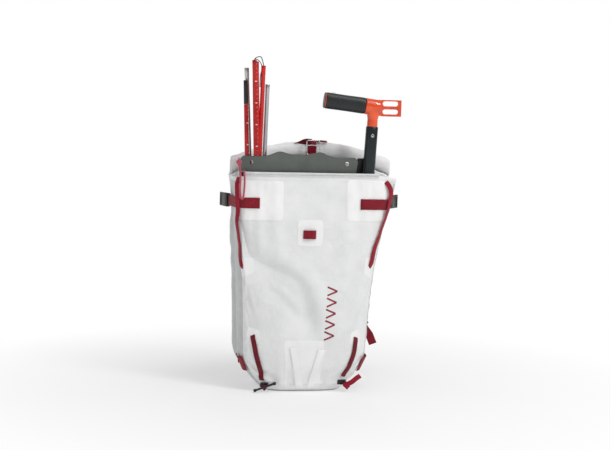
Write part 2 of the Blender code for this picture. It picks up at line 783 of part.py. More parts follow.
def make_toggle(name, pivot):
    """Metal bar that an axe's shaft strap closes round."""
    place = frame_at(pivot, (math.cos(TOGGLE_TILT), 0, -math.sin(TOGGLE_TILT)), (0, -1, 0))
    x, y, z = Vector((1, 0, 0)), Vector((0, 1, 0)), Vector((0, 0, 1))
    rings = []
    for at, share in TOGGLE_SHAPE + tuple((-at, share) for at, share in TOGGLE_SHAPE[::-1]):
        radius = TOGGLE_R * share
        rings.append(round_ring(x * at * TOGGLE_HALF, y, z, radius, radius, 10))
    loft(name, rings, "black_alloy", place)


def make_lash_points(name, side):
    skin_strip("lash_tape_" + name, lash_route(side), TAPE, LASH_LIFT, WEB_THICK, "red_webbing", 18)
    skin_strip("axe_strap_" + name, axe_route(side), AXE_WEB, STRAP_LIFT, WEB_THICK, "red_webbing", 10)
    q, z = axe_route(side)[-1]
    origin = skin(q, z - AXE_SLIDER_DROP, 0.0062)
    place = frame_at(origin, (1, 0, 0), skin_normal(q, z - 0.006))
    frame = box("axe_slider_" + name, AXE_SLIDER, (0, 0, 0), "black_plastic", place, bevel=0.0011)
    cut(frame, box("axe_slot_" + name, AXE_SLOT, (0, AXE_SLOT_OFF, 0), None, place))
    cut(frame, box("axe_slot_low_" + name, AXE_SLOT, (0, -AXE_SLOT_OFF, 0), None, place))
    if side < 0:
        make_toggle("axe_toggle_" + name, origin + Vector((0, -0.0110, -0.0035)))


SKI_LOOP_Z = 0.066
SKI_LOOP_WIDTH = 0.040
SKI_LOOP_RISE = 0.0030
SKI_LOOP_BEHIND = 0.048  # of its rear end, behind the side seam


def make_ski_loop(name, side):
    """A wide loop round the pack's lower side, for a ski's tail. It lies nearly flat while it is empty."""
    z = SKI_LOOP_Z
    start = q_at(side * (half_width(z, side) - 0.016), z)
    ends = (start, side * (1 + SKI_LOOP_BEHIND))
    points, normals = [], []
    for k in range(17):
        share = k / 16
        q = ends[0] + (ends[1] - ends[0]) * share
        lift = STRAP_LIFT + WEB_THICK / 2 + SKI_LOOP_RISE * math.sin(math.pi * share) ** 0.7
        points.append(skin(q, z, lift))
        normals.append(skin_normal(q, z))
    ribbon("ski_loop_" + name, points, normals, SKI_LOOP_WIDTH, WEB_THICK, "red_webbing")


CENTRE_LOOP_BELOW_MOUTH = 0.143


def make_centre_loop():
    z = MOUTH - CENTRE_LOOP_BELOW_MOUTH
    half, rise = 0.0145, 0.0042
    points, normals = [], []
    for k in range(9):
        x = half * (2 * k / 8 - 1)
        lift = STRAP_LIFT + WEB_THICK / 2 + rise * (1 - (x / half) ** 4)
        points.append(skin(q_at(x, z), z, lift))
        normals.append(skin_normal(q_at(x, z), z))
    ribbon("centre_loop", points, normals, MID_WEB, WEB_THICK, "red_webbing")


# ---- shovel ----

BLADE_Y = MAIN_FRONT_Y - PROBE_STACK - BLADE_THICK - BLADE_DISH
BLADE_SHOULDER = MOUTH + BLADE_SHOW
SHAFT_TOP_X = half_width(MOUTH) - SHAFT_INSET + 0.0065
SHAFT_TOP_Z = MOUTH + SHAFT_SHOW
SHAFT_Y = MAIN_FRONT_Y - 0.0092 - SHAFT_RY
BLADE_LEFT = BLADE_SIDE_ROOM - half_width(MOUTH, -1.0)
BLADE_RIGHT = half_width(MOUTH) - SHAFT_INSET - SHAFT_RX - SHAFT_ROOM + 0.001
BLADE_X = (BLADE_LEFT + BLADE_RIGHT) / 2
BLADE_HALF = (BLADE_RIGHT - BLADE_LEFT) / 2
BLADE_NARROWING = 0.036
HOLE_INSET = 0.027
HOLE_DROP = 0.015


def blade_top(share):
    """Height of the cutting edge over the shoulders: a pair of humps with a dip between them."""
    hump = sum(math.exp(-(((share - at) / 0.155) ** 2)) for at in (-0.34, 0.34))
    middle = 0.52 * math.exp(-((share / 0.2) ** 2))
    corner = -0.9 * max(0.0, abs(share) - 0.93) ** 2 / 0.07**2
    return BLADE_HUMP * (hump + middle + corner)


def blade_point(share, height):
    """share runs -1 to 1 across the blade, and height 0 to 1 up it."""
    across = share * (BLADE_HALF - BLADE_NARROWING * (1 - height))
    low = BLADE_SHOULDER - BLADE_HEIGHT + 0.030 * max(0.0, abs(share) - 0.55) ** 2 / 0.2
    high = BLADE_SHOULDER + blade_top(share)
    back = BLADE_DISH * (across / BLADE_HALF) ** 2
    return Vector((BLADE_X + across, BLADE_Y + back, low + (high - low) * height))


def make_blade():
    across, up = 28, 7
    rings = []
    for i in range(across + 1):
        share = 2 * i / across - 1
        shift = Vector((0, BLADE_THICK, 0))
        column = [blade_point(share, k / up) for k in range(up + 1)]
        rings.append(column + [p + shift for p in column[::-1]])
    blade = loft("shovel_blade", rings, "grey_alloy")
    for side in (-1, 1):
        x = BLADE_X + side * (BLADE_HALF - HOLE_INSET)
        z = BLADE_SHOULDER - HOLE_DROP
        ends = (x, BLADE_Y - 0.02, z), (x, BLADE_Y + 0.04, z)
        cut(blade, rod(f"blade_hole_{side}", *ends, BLADE_HOLE, None, 14))
    y, x = Vector((0, 1, 0)), Vector((1, 0, 0))
    top = BLADE_SHOULDER - BLADE_HEIGHT + 0.060
    middle_y = BLADE_Y + SHAFT_RY * 0.86 + 0.0004
    rings = [[], []]
    for k, z in enumerate((top - 0.105, top)):
        rings[k] = round_ring(Vector((BLADE_X, middle_y, z)), x, y, SHAFT_RX + 0.0022, SHAFT_RY * 0.86, 18)
    inner = [
        round_ring(Vector((BLADE_X, middle_y, z)), x, y, SHAFT_RX + 0.0004, SHAFT_RY * 0.86 - 0.0016, 18)
        for z in (top - 0.105, top)
    ]
    socket = tube_loft("blade_socket", rings, inner, None)
    cut(blade, socket, "UNION")


def shaft_frame():
    """Origin at the shaft's top, local Z up along it, local X to the right."""
    lean = Matrix.Rotation(SHAFT_LEAN, 4, "Y")
    return Matrix.Translation((SHAFT_TOP_X, SHAFT_Y, SHAFT_TOP_Z)) @ lean


def make_shaft():
    place = shaft_frame()
    x, y = Vector((1, 0, 0)), Vector((0, 1, 0))
    outer, inner = [], []
    for z in (-SHAFT_LENGTH, 0.0):
        outer.append(round_ring(Vector((0, 0, z)), x, y, SHAFT_RX, SHAFT_RY, 20, 2.3))
        inner.append(
            round_ring(Vector((0, 0, z)), x, y, SHAFT_RX - SHAFT_WALL, SHAFT_RY - SHAFT_WALL, 20, 2.3)
        )
    tube = tube_loft("shovel_shaft", outer, inner, "dark_alloy", place)
    button_z = -0.021
    hole = rod("button_hole", (0, -0.05, button_z), (0, 0, button_z), BUTTON_RADIUS + 0.0005, None, 14)
    hole.matrix_world = place
    cut(tube, hole)
    rings = []
    for out, share in ((0.0012, 0.62), (0.0006, 0.94), (-0.0035, 1.0)):
        middle = Vector((0, -SHAFT_RY - out, button_z))
        radius = BUTTON_RADIUS * share
        rings.append(round_ring(middle, x, Vector((0, 0, 1)), radius, radius, 12))
    loft("lock_button", rings, "steel", place)
    make_handle(place)


def make_handle(place):
    """Orange tee moulding: a neck in the shaft, a hub, the core of the grip and a slotted fork."""
    x, y, z = Vector((1, 0, 0)), Vector((0, 1, 0)), Vector((0, 0, 1))
    play = 0.0003
    neck_r = (SHAFT_RX - SHAFT_WALL - play, SHAFT_RY - SHAFT_WALL - play)
    rows = (
        (-0.012, neck_r[0], neck_r[1]),
        (-0.0002 + GAP, neck_r[0], neck_r[1]),
        (0.0004 + GAP, SHAFT_RX * 0.90, SHAFT_RY * 0.92),
        (0.018, SHAFT_RX * 0.88, SHAFT_RY * 0.92),
        (0.030, SHAFT_RX * 1.05, SHAFT_RY * 1.00),
        (0.045, SHAFT_RX * 1.25, SHAFT_RY * 1.02),
    )
    rings = [round_ring(Vector((0, 0, at)), x, y, rx, ry, 20, 2.2) for at, rx, ry in rows]
    tee = loft("handle_tee", rings, "orange_plastic", place)
    along = Vector((-math.cos(GRIP_TILT - SHAFT_LEAN), 0, math.sin(GRIP_TILT - SHAFT_LEAN)))
    up = along.cross(y).normalized()
    up = up if up.z > 0 else -up
    hub = Vector((0, 0, 0.0465))
    rows = (
        (-0.020, 0.55, 0.62),
        (-0.014, 0.86, 0.86),
        (-0.004, 0.98, 0.98),
        (GRIP_START - 0.0002, 1.02, 1.02),
        (GRIP_START, 0.76, 0.72),
        (GRIP_START + GRIP_LENGTH, 0.76, 0.72),
        (GRIP_START + 0.0002 + GRIP_LENGTH, 0.97, 0.97),
        (GRIP_START + 0.0024 + GRIP_LENGTH, 0.97, 0.97),
        (GRIP_START + 0.0034 + GRIP_LENGTH, 0.88, 0.86),
    )
    rings = [round_ring(hub + along * at, up, y, GRIP_R * a, GRIP_DEPTH * b, 20, 2.3) for at, a, b in rows]
    core = loft("handle_core", rings, None, place)
    cut(tee, core, "UNION")
    level = Vector((math.cos(SHAFT_LEAN), 0, math.sin(SHAFT_LEAN)))
    fork_place = place @ Matrix.Translation(hub) @ frame_at((0, 0, 0), level, -y)
    outline = [
        (0.004, -FORK_HEIGHT * 0.44),
        (0.020, -FORK_HEIGHT * 0.55),
        (0.014 + FORK_LENGTH, -FORK_HEIGHT * 0.55),
        (0.014 + FORK_LENGTH, FORK_HEIGHT * 0.45),
        (0.004, FORK_HEIGHT * 0.45),
    ]
    fork = slab("handle_fork", outline, -FORK_THICK / 2, FORK_THICK / 2, None, fork_place)
    cut(tee, fork, "UNION")
    for k, height in enumerate(FORK_SLOTS):
        outline = []
        for i in range(14):
            angle = math.pi * (i if i < 7 else i - 1) / 6 + math.pi / 2
            centre = FORK_SLOT_START + (FORK_SLOT_R if i < 7 else FORK_SLOT_LENGTH - FORK_SLOT_R)
            outline.append((centre + FORK_SLOT_R * math.cos(angle), height + FORK_SLOT_R * math.sin(angle)))
        cut(tee, slab(f"fork_slot_{k}", outline, -0.03, 0.03, None, fork_place))
    outer, inner = [], []
    for at, swell in ((GAP, 0.98), (0.005, 1.0), (GRIP_LENGTH - 0.004, 1.0), (GRIP_LENGTH - 0.0006, 0.97)):
        middle = hub + along * (GRIP_START + at)
        outer.append(round_ring(middle, up, y, GRIP_R * swell, GRIP_DEPTH * swell, 20, 2.6))
        inner.append(round_ring(middle, up, y, GRIP_R * 0.76 + 0.0003, GRIP_DEPTH * 0.72 + 0.0003, 20, 2.3))
    tube_loft("grip_sleeve", outer, inner, "black_rubber", place)


# ---- probe ----


def tube_line(top_x, low_x, top_z, layer):
    """The two ends of a probe section, as its middle line."""
    bundle = PROBE_INSET - half_width(MOUTH, -1.0)
    y = MAIN_FRONT_Y - TOOL_CLEAR - TUBE_R - layer * TUBE_PITCH
    top = Vector((bundle + top_x, y, MOUTH + top_z))
    low = Vector((bundle + low_x, y, MOUTH + top_z - TUBE_LENGTH))
    return low, top


PROBE_TUBES = {
    "probe_tip_tube": (-0.0235, -0.0020, 0.240, 0, "silver_alloy"),
    "probe_grip_tube": (-0.0265, -0.0120, 0.211, 1, "black_alloy"),
    "probe_scale_tube": (-0.0085, 0.0060, 0.258, 2, "red_alloy"),
    "probe_second_tube": (0.0145, 0.0060, 0.246, 1, "red_alloy"),
    "probe_end_tube": (0.0265, 0.0180, 0.203, 0, "silver_alloy"),
}


def make_probe():
    for name, (top_x, low_x, top_z, layer, finish_name) in PROBE_TUBES.items():
        low, top = tube_line(top_x, low_x, top_z, layer)
        along = (top - low).normalized()
        u = along.orthogonal().normalized()
        v = along.cross(u)
        length = (top - low).length
        outer = [round_ring(low + along * at, u, v, TUBE_R, TUBE_R, 12) for at in (0, length)]
        bore = TUBE_R - TUBE_WALL
        inner = [round_ring(low + along * at, u, v, bore, bore, 12) for at in (0, length)]
        tube_loft(name, outer, inner, finish_name)
    first = tube_line(*PROBE_TUBES["probe_scale_tube"][:4])[1]
    second = tube_line(*PROBE_TUBES["probe_second_tube"][:4])[1]
    sag = Vector((0, 0, -0.010))
    rise = [first + Vector((0.005, 0.002, 0.006)), (first + second) / 2 + Vector((0.004, 0, 0.0135))]
    fall = [second + Vector((-0.002, -0.001, 0.008)), second, second + sag]
    wire("probe_cable", smooth_path([first + sag, first, *rise, *fall], 20), CABLE_R, "black_alloy", 6)


# ---- back panel, frame and straps ----

SHEET_THICK = 0.0015
SHEET_INSET = 0.017  # of the frame sheet's edges inside the pad's


def make_back():
    middle_z, high = (PAD_TOP + PAD_LOW) / 2, PAD_TOP - PAD_LOW
    pad_middle = (0, BACK_Y + GAP + PAD_THICK / 2, middle_z)
    box("back_pad", (2 * PAD_HALF_WIDTH, PAD_THICK, high), pad_middle, "grey_fabric", bevel=0.004)
    sheet_size = (2 * PAD_HALF_WIDTH - 2 * SHEET_INSET, SHEET_THICK, high - 2 * SHEET_INSET)
    inside = BACK_Y - FABRIC - 0.0027 - SHEET_THICK / 2
    box("frame_sheet", sheet_size, (0, inside, middle_z), "stiff_sheet")


SHOULDER_ROOT_X = 0.052
SHOULDER_TOP = RIM_HEIGHT - 0.082


SPREAD_LEFT = 0.68  # how far each strap's end runs outward, as a share of the rows below
SPREAD_RIGHT = 1.24
DROP_LEFT = -0.012
DROP_RIGHT = 0.030


def shoulder_points(side):
    spread, drop = (SPREAD_LEFT, DROP_LEFT) if side < 0 else (SPREAD_RIGHT, DROP_RIGHT)
    rows = (
        (0.000, 0.0240, -0.016),
        (0.002, 0.0380, 0.004),
        (0.006, 0.0600, -0.022),
        (0.014, 0.0730, -0.086),
        (0.034 * spread, 0.0730, -0.160 - drop * 0.3),
        (0.066 * spread, 0.0580, -0.235 - drop * 0.7),
        (0.096 * spread, 0.0380, -0.290 - drop),
    )
    root_y = BACK_Y + PAD_THICK - 0.014
    return [Vector((side * (SHOULDER_ROOT_X + x), root_y + y, SHOULDER_TOP + z)) for x, y, z in rows]


def lateral_normals(points, across):
    """Normals for a ribbon whose width runs along one fixed direction."""
    return [along.cross(across) for along in tangents(points)]


LOCK_THICK = 0.0046


def make_shoulder(name, side):
    points = smooth_path(shoulder_points(side), 18)
    along = tangents(points)
    normals = []
    for t in along:
        out = Vector((0.0, 1.0, 0.0)) - t * t.y
        normals.append(out if t.z < 0.2 else Vector((0, -t.z, t.y)))
    widths = [SHOULDER_WIDTH * (0.80 + 0.20 * ease(k / 5) - 0.34 * ease((k - 11) / 6)) for k in range(18)]
    ribbon("shoulder_strap_" + name, points, normals, 0, SHOULDER_THICK, "white_fabric", widths)
    end, slope = points[-1], along[-1]
    out = (Vector((0, 1, 0)) - slope * slope.y).normalized()
    place = frame_at(end + slope * (0.0125 + GAP), slope, out)
    lock_size = (0.024, 0.031, LOCK_THICK)
    lock = box("ladder_lock_" + name, lock_size, (0, 0, 0), "black_plastic", place, bevel=0.0011)
    cut(lock, box(f"ladder_slot_{name}", (0.0049, 0.0258, 0.02), (0.00275, 0, 0), None, place))
    cut(lock, box(f"ladder_gap_{name}", (0.0040, 0.0258, 0.02), (-0.0065, 0, 0), None, place))
    make_shoulder_webbing(name, side, place)


def make_shoulder_webbing(name, side, place):
    """Webbing from the base's corner, up round the lock's lower bar and down again as a loose tail."""
    foot = Vector((side * (half_width(0.060, side) - 0.014), BACK_Y + 0.0030, 0.062))
    rise = LOCK_THICK / 2 + 0.0006 + WEB_THICK / 2
    low = place @ Vector((0.023, 0, -rise - 0.001))
    line = [foot + Vector((side * -0.002, 0, -0.022)), foot, foot.lerp(low, 0.5) + Vector((0, 0.002, 0)), low]
    line.append(place @ Vector((0.012, 0, -rise)))
    for k in range(7):
        angle = math.pi * (k / 6 - 0.5)
        line.append(place @ Vector((0.0066 - 0.0041 * math.cos(angle), 0, rise * math.sin(angle))))
    line.append(place @ Vector((0.012, 0, rise)))
    tip = place @ Vector((0.018, 0, rise + 0.001))
    if side > 0:
        line += [tip, tip + Vector((0.014, 0.004, -0.018)), tip + Vector((0.022, -0.002, -0.040))]
    else:
        line += [tip, tip + Vector((0.002, 0.008, -0.026)), tip + Vector((0.004, 0.006, -0.052))]
    across = place.to_3x3() @ Vector((0, 1, 0))
    ribbon("shoulder_webbing_" + name, line, lateral_normals(line, across), MID_WEB, WEB_THICK, "red_webbing")


HAUL_Z = RIM_HEIGHT - 0.074
HAUL_HALF = 0.030
HAUL_HEIGHT = 0.040
HAUL_WIDTH = 0.014
HAUL_THICK = 0.0024


def make_haul_loop():
    """Webbing handle. Its origin is between its two sewn ends, which is where it folds down from."""
    root = Vector((0, MAIN_MID_Y + main_half_depth(HAUL_Z) + 0.0030, HAUL_Z))
    shape = ((1.0, 0.0, 0.0), (1.05, 0.3, 0.45), (0.6, 0.5, 1.0))
    half = [(HAUL_HALF * x, HAUL_HEIGHT * out, HAUL_HEIGHT * up) for x, out, up in shape]
    points = smooth_path([(-x, y, z) for x, y, z in half] + half[::-1], 20)
    normals = [Vector((0, 1, -0.5))] * 20
    loop = ribbon("haul_loop", points, normals, HAUL_WIDTH, HAUL_THICK, "red_webbing")
    loop.location = root


STERNUM_Z = SHOULDER_TOP - 0.120
STERNUM_SCALE = 0.72
STERNUM_LIFT = 0.00338 + STERNUM_SCALE * BUCKLE_THICK / 2  # of its middle over the shoulder straps
STERNUM_Y = BACK_Y + PAD_THICK + 0.059 + SHOULDER_THICK / 2 + STERNUM_LIFT


def make_sternum():
    scale = Matrix.Scale(STERNUM_SCALE, 4)
    place = frame_at((0, STERNUM_Y, STERNUM_Z), (1, 0, 0), (0, 1, 0)) @ scale
    female_half("sternum_socket", place)
    male_half("sternum_prong", place)
    seat_y = BACK_Y + PAD_THICK + 0.059 + SHOULDER_THICK / 2 + 0.0030
    for name, side in SIDES:
        x = SHOULDER_ROOT_X + 0.024
        if side < 0:
            start, y = STERNUM_SCALE * BUCKLE_HALF + GAP, STERNUM_Y
        else:
            start = STERNUM_SCALE * (BUCKLE_HALF + 0.004)
            y = STERNUM_Y - STERNUM_SCALE * BUCKLE_THICK / 2 - 0.0010
        run = ((start, y), (start + 0.010, y), (x - 0.030, y))
        rows = (*run, (x - 0.014, seat_y), (x, seat_y), (x + 0.012, seat_y))
        line = smooth_path([(side * px, py, STERNUM_Z) for px, py in rows], 14)
        normals = lateral_normals(line, Vector((0, 0, 1)))
        ribbon("sternum_strap_" + name, line, normals, 0.015, 0.0014, "red_webbing")


def make_hip_belt():
    base = BACK_Y + PAD_THICK + GAP
    place = frame_at((0, base + BELT_REACH, BELT_HEIGHT), (1, 0, 0), (0, 1, 0))
    for name, side in SIDES:
        rows = (
            (0.040, 0.0062, 0.0),
            (0.078, 0.0085, 0.0),
            (0.106, 0.0250, 0.001),
            (0.114, 0.0600, 0.002),
            (0.110, 0.1000, 0.001),
            (0.096, 0.1280, 0.0),
            (0.074, 0.1420, 0.0),
        )
        points = smooth_path([(side * x, base + y, BELT_HEIGHT + z) for x, y, z in rows], 20)
        along = tangents(points)
        normals = [Vector((0, 0, side)).cross(t) for t in along]
        widths = [0.078 - 0.040 * ease((k - 5) / 14) for k in range(20)]
        ribbon("hip_fin_" + name, points, normals, 0, FIN_THICK, "white_fabric", widths)
        nose = BUCKLE_HALF + (GAP if side < 0 else 0.004)
        lift = 0.0 if side < 0 else -BUCKLE_THICK / 2 - 0.0012 - WEB_THICK / 2
        first = points[-1] + along[-1] * (GAP + 0.0006)
        inner = Vector((side * nose, base + BELT_REACH + lift, BELT_HEIGHT))
        run = inner + Vector((side * (0.040 if side > 0 else 0.010), 0, 0))
        line = smooth_path([inner, run, first], 10)
        ribbon("hip_strap_" + name, line, [(0, 1, 0)] * 10, WIDE_WEB, WEB_THICK, "red_webbing")
    female_half("hip_socket", place)
    male_half("hip_prong", place)


# ---- assembly ----


def clear_scene():
    for old in list(bpy.data.objects):
        bpy.data.objects.remove(old)


clear_scene()
MATERIALS = make_materials()
make_bag()
make_closure()
make_zip()
make_divider()
make_centre_loop()
for side_name, side_sign in SIDES:
    make_compression(side_name, side_sign)
    make_lash_points(side_name, side_sign)
    make_ski_loop(side_name, side_sign)
    make_shoulder(side_name, side_sign)
make_haul_loop()
make_back()
make_sternum()
make_hip_belt()
make_blade()
make_shaft()
make_probe()
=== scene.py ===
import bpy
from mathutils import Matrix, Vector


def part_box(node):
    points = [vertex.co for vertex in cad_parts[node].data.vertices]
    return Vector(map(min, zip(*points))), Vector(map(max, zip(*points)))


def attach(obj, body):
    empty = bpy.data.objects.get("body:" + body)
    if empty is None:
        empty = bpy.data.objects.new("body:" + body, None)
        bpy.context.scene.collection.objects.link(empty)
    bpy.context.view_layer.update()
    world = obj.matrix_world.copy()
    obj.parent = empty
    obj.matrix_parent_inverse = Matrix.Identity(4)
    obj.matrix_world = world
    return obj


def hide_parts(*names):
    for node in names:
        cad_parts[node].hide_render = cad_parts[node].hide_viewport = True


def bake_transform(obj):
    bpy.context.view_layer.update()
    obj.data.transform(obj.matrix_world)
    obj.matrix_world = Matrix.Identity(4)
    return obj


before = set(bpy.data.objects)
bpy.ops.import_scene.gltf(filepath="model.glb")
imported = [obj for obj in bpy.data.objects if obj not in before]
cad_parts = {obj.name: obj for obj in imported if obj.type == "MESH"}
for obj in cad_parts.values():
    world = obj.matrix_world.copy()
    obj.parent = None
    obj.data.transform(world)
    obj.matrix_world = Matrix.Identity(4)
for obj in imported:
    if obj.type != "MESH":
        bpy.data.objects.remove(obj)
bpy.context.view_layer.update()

import math

import bmesh
import bpy
from mathutils import Matrix, Quaternion, Vector, noise
from mathutils.bvhtree import BVHTree

scene = bpy.context.scene

# camera first: a long lens, a little below the roll and a little to the pack's left
cameraSetup = {
    "azimuth": -10.0,  # degrees round from straight on
    "elevation": 5.0,
    "roll": 1.5,
    "lens": 85.0,
    "distance": 3.457,
    "aim": (0.007, 0.0, 0.389),
}


def makeCamera(setup):
    turn, rise = math.radians(setup["azimuth"]), math.radians(setup["elevation"])
    back = Vector((math.sin(turn) * math.cos(rise), -math.cos(turn) * math.cos(rise), math.sin(rise)))
    lens = bpy.data.cameras.new("camera")
    lens.lens = setup["lens"]
    lens.clip_end = 200
    camera = bpy.data.objects.new("camera", lens)
    scene.collection.objects.link(camera)
    camera.rotation_mode = "QUATERNION"
    camera.location = Vector(setup["aim"]) + back * setup["distance"]
    roll = Quaternion((0, 0, 1), math.radians(setup["roll"]))
    camera.rotation_quaternion = (-back).to_track_quat("-Z", "Y") @ roll
    scene.camera = camera


makeCamera(cameraSetup)
print("camera placed")


def ease(t):
    t = min(max(t, 0.0), 1.0)
    return t * t * (3 - 2 * t)


def mix(a, b, t):
    return a + (b - a) * t


def signedPower(value, power):
    return math.copysign(abs(value) ** power, value)


def bump(value, middle, width):
    return math.exp(-(((value - middle) / width) ** 2))


# small tools for node trees


def addNode(tree, kind, values=None, **settings):
    made = tree.nodes.new(kind)
    for key, value in settings.items():
        setattr(made, key, value)
    for key, value in (values or {}).items():
        if isinstance(value, bpy.types.NodeSocket):
            tree.links.new(value, made.inputs[key])
        else:
            made.inputs[key].default_value = value
    return made


def calc(tree, operation, *values):
    return addNode(tree, "ShaderNodeMath", dict(enumerate(values)), operation=operation).outputs[0]


def vary(tree, position, scale, detail=3.0, rough=0.55, stretch=None):
    if stretch:
        position = addNode(tree, "ShaderNodeMapping", {"Vector": position, "Scale": stretch}).outputs[0]
    wanted = {"Vector": position, "Scale": scale, "Detail": detail, "Roughness": rough}
    return addNode(tree, "ShaderNodeTexNoise", wanted).outputs["Fac"]


def ramp(tree, value, *stops):
    made = addNode(tree, "ShaderNodeValToRGB", {"Fac": value})
    while len(made.color_ramp.elements) < len(stops):
        made.color_ramp.elements.new(0.5)
    for element, (place, colour) in zip(made.color_ramp.elements, stops):
        element.position = place
        element.color = (*colour, 1.0)
    return made.outputs[0]


def blendColour(tree, share, first, second):
    made = addNode(tree, "ShaderNodeMix", data_type="RGBA")
    for key, value in (("Factor", share), ("A", first), ("B", second)):
        sockets = [s for s in made.inputs if s.name == key and s.enabled]
        socket = [s for s in sockets if key == "Factor" or s.type == "RGBA"][0]
        if isinstance(value, bpy.types.NodeSocket):
            tree.links.new(value, socket)
        else:
            socket.default_value = (*value, 1.0) if key != "Factor" else value
    return [s for s in made.outputs if s.type == "RGBA"][0]


def range01(tree, value, low, high, outLow=0.0, outHigh=1.0):
    wanted = {"Value": value, "From Min": low, "From Max": high, "To Min": outLow, "To Max": outHigh}
    return addNode(tree, "ShaderNodeMapRange", wanted).outputs["Result"]


def startFinish(name, **fixed):
    material = bpy.data.materials.new(name)
    material.use_nodes = True
    tree = material.node_tree
    shader = tree.nodes["Principled BSDF"]
    for key, value in fixed.items():
        shader.inputs[key.replace("_", " ")].default_value = value
    place = addNode(tree, "ShaderNodeTexCoord")
    return material, tree, shader, place.outputs["Object"], place.outputs["UV"]


def relief(tree, shader, height, distance, strength=1.0, under=None):
    wanted = {"Height": height, "Distance": distance, "Strength": strength}
    if under:
        wanted["Normal"] = under
    made = addNode(tree, "ShaderNodeBump", wanted).outputs[0]
    tree.links.new(made, shader.inputs["Normal"])
    return made


def paint(tree, shader, colour, roughness=None):
    tree.links.new(colour, shader.inputs["Base Color"])
    if roughness is not None:
        tree.links.new(roughness, shader.inputs["Roughness"])


def gridLines(tree, u, v, pitch, width):
    # thin raised threads that cross at an even pitch, 1 on a thread and 0 between
    found = []
    for value in (u, v):
        share = calc(tree, "FRACT", calc(tree, "MULTIPLY", value, 1 / pitch))
        away = calc(tree, "ABSOLUTE", calc(tree, "SUBTRACT", share, 0.5))
        found.append(range01(tree, away, 0.0, width, 1.0, 0.0))
    return calc(tree, "MAXIMUM", *found)


def makeLaminate(name, light, dark, gridPitch=0.0052, crinkle=1.0, roughness=0.5):
    # coated ripstop cloth: a fine thread grid, flat weave between, crinkles with painted shade along the
    # creases, and a faint sheen
    material, tree, shader, place, flat = startFinish(name, Sheen_Weight=0.12, Sheen_Roughness=0.4)
    shader.inputs["Specular IOR Level"].default_value = 0.42
    split = addNode(tree, "ShaderNodeSeparateXYZ", {"Vector": flat})
    u, v = split.outputs[0], split.outputs[1]
    threads = gridLines(tree, u, v, gridPitch, 0.09)
    weave = calc(
        tree,
        "MULTIPLY",
        calc(tree, "SINE", calc(tree, "MULTIPLY", u, 2 * math.pi / 0.00075)),
        calc(tree, "SINE", calc(tree, "MULTIPLY", v, 2 * math.pi / 0.00075)),
    )
    soft = vary(tree, place, 38.0, 4.0, 0.6)
    sharp = addNode(
        tree, "ShaderNodeTexVoronoi", {"Vector": place, "Scale": 34.0}, feature="DISTANCE_TO_EDGE"
    )
    crease = range01(tree, sharp.outputs["Distance"], 0.0, 0.16, 1.0, 0.0)
    patchy = range01(tree, vary(tree, place, 9.0, 2.0), 0.46, 0.66)
    creases = calc(tree, "MULTIPLY", crease, patchy)
    first = relief(tree, shader, soft, 0.0012 * crinkle, 0.55)
    second = relief(tree, shader, creases, 0.0005 * crinkle, 0.35, first)
    third = relief(tree, shader, threads, 0.00022, 0.6, second)
    relief(tree, shader, weave, 0.00006, 0.35, third)
    tone = ramp(tree, vary(tree, place, 13.0, 5.0, 0.6), (0.30, dark), (0.62, light))
    darker = calc(tree, "MULTIPLY", threads, 0.30)
    shade = blendColour(tree, darker, tone, tuple(c * 0.86 for c in dark))
    # painted shade: the colour is darkened along the creases
    creaseShade = calc(tree, "MULTIPLY", creases, 0.16)
    shade = blendColour(tree, creaseShade, shade, tuple(c * 0.80 for c in dark))
    rough = range01(tree, vary(tree, place, 60.0, 2.0), 0.3, 0.7, roughness - 0.07, roughness + 0.09)
    paint(tree, shader, shade, rough)
    return material


def makeWeld(name, light):
    # smooth film welded over the cloth: no thread grid, a tighter gloss and a few fine scratches
    material, tree, shader, place, _ = startFinish(name, Coat_Weight=0.12, Coat_Roughness=0.35)
    soft = vary(tree, place, 55.0, 3.0)
    scratch = vary(tree, place, 420.0, 1.0, 0.5, (1.0, 0.12, 0.08))
    relief(tree, shader, scratch, 0.00005, 0.3, relief(tree, shader, soft, 0.0006, 0.4))
    tone = ramp(tree, vary(tree, place, 22.0, 3.0), (0.3, tuple(c * 0.93 for c in light)), (0.7, light))
    paint(tree, shader, tone, range01(tree, soft, 0.3, 0.7, 0.36, 0.48))
    return material


def makeWebbing(name, light, dark, rib=0.0021, ribDepth=0.00042, cross=0.0):
    # woven strap: ribs across it with painted shade in the grooves, a thread twill on each rib, firmer edges
    # and a little fuzz
    material, tree, shader, place, flat = startFinish(name, Sheen_Weight=0.12, Sheen_Roughness=0.55)
    shader.inputs["Specular IOR Level"].default_value = 0.25
    split = addNode(tree, "ShaderNodeSeparateXYZ", {"Vector": flat})
    u, v = split.outputs[0], split.outputs[1]
    slanted = calc(tree, "ADD", u, calc(tree, "MULTIPLY", calc(tree, "ABSOLUTE", v), cross))
    wave = calc(tree, "SINE", calc(tree, "MULTIPLY", slanted, 2 * math.pi / rib))
    ribs = range01(tree, wave, -1.0, 1.0)
    twill = calc(tree, "SINE", calc(tree, "MULTIPLY", calc(tree, "ADD", u, v), 2 * math.pi / 0.00085))
    across = calc(tree, "SINE", calc(tree, "MULTIPLY", v, 2 * math.pi / 0.0011))
    thread = calc(tree, "MULTIPLY", twill, across)
    first = relief(tree, shader, ribs, ribDepth, 0.9)
    relief(tree, shader, thread, 0.00012, 0.6, first)
    # painted shade: the grooves between the ribs are coloured darker
    tone = ramp(tree, ribs, (0.12, dark), (0.7, light))
    worn = range01(tree, vary(tree, place, 70.0, 4.0), 0.50, 0.78, 0.0, 0.35)
    faded = tuple(min(1.0, c * 1.35 + 0.012) for c in light)
    shade = blendColour(tree, worn, tone, faded)
    specks = range01(tree, vary(tree, place, 900.0, 1.0), 0.56, 0.70, 0.0, 0.30)
    shade = blendColour(tree, specks, shade, tuple(c * 0.5 for c in dark))
    paint(tree, shader, shade, range01(tree, vary(tree, place, 300.0, 2.0), 0.3, 0.7, 0.62, 0.85))
    return material


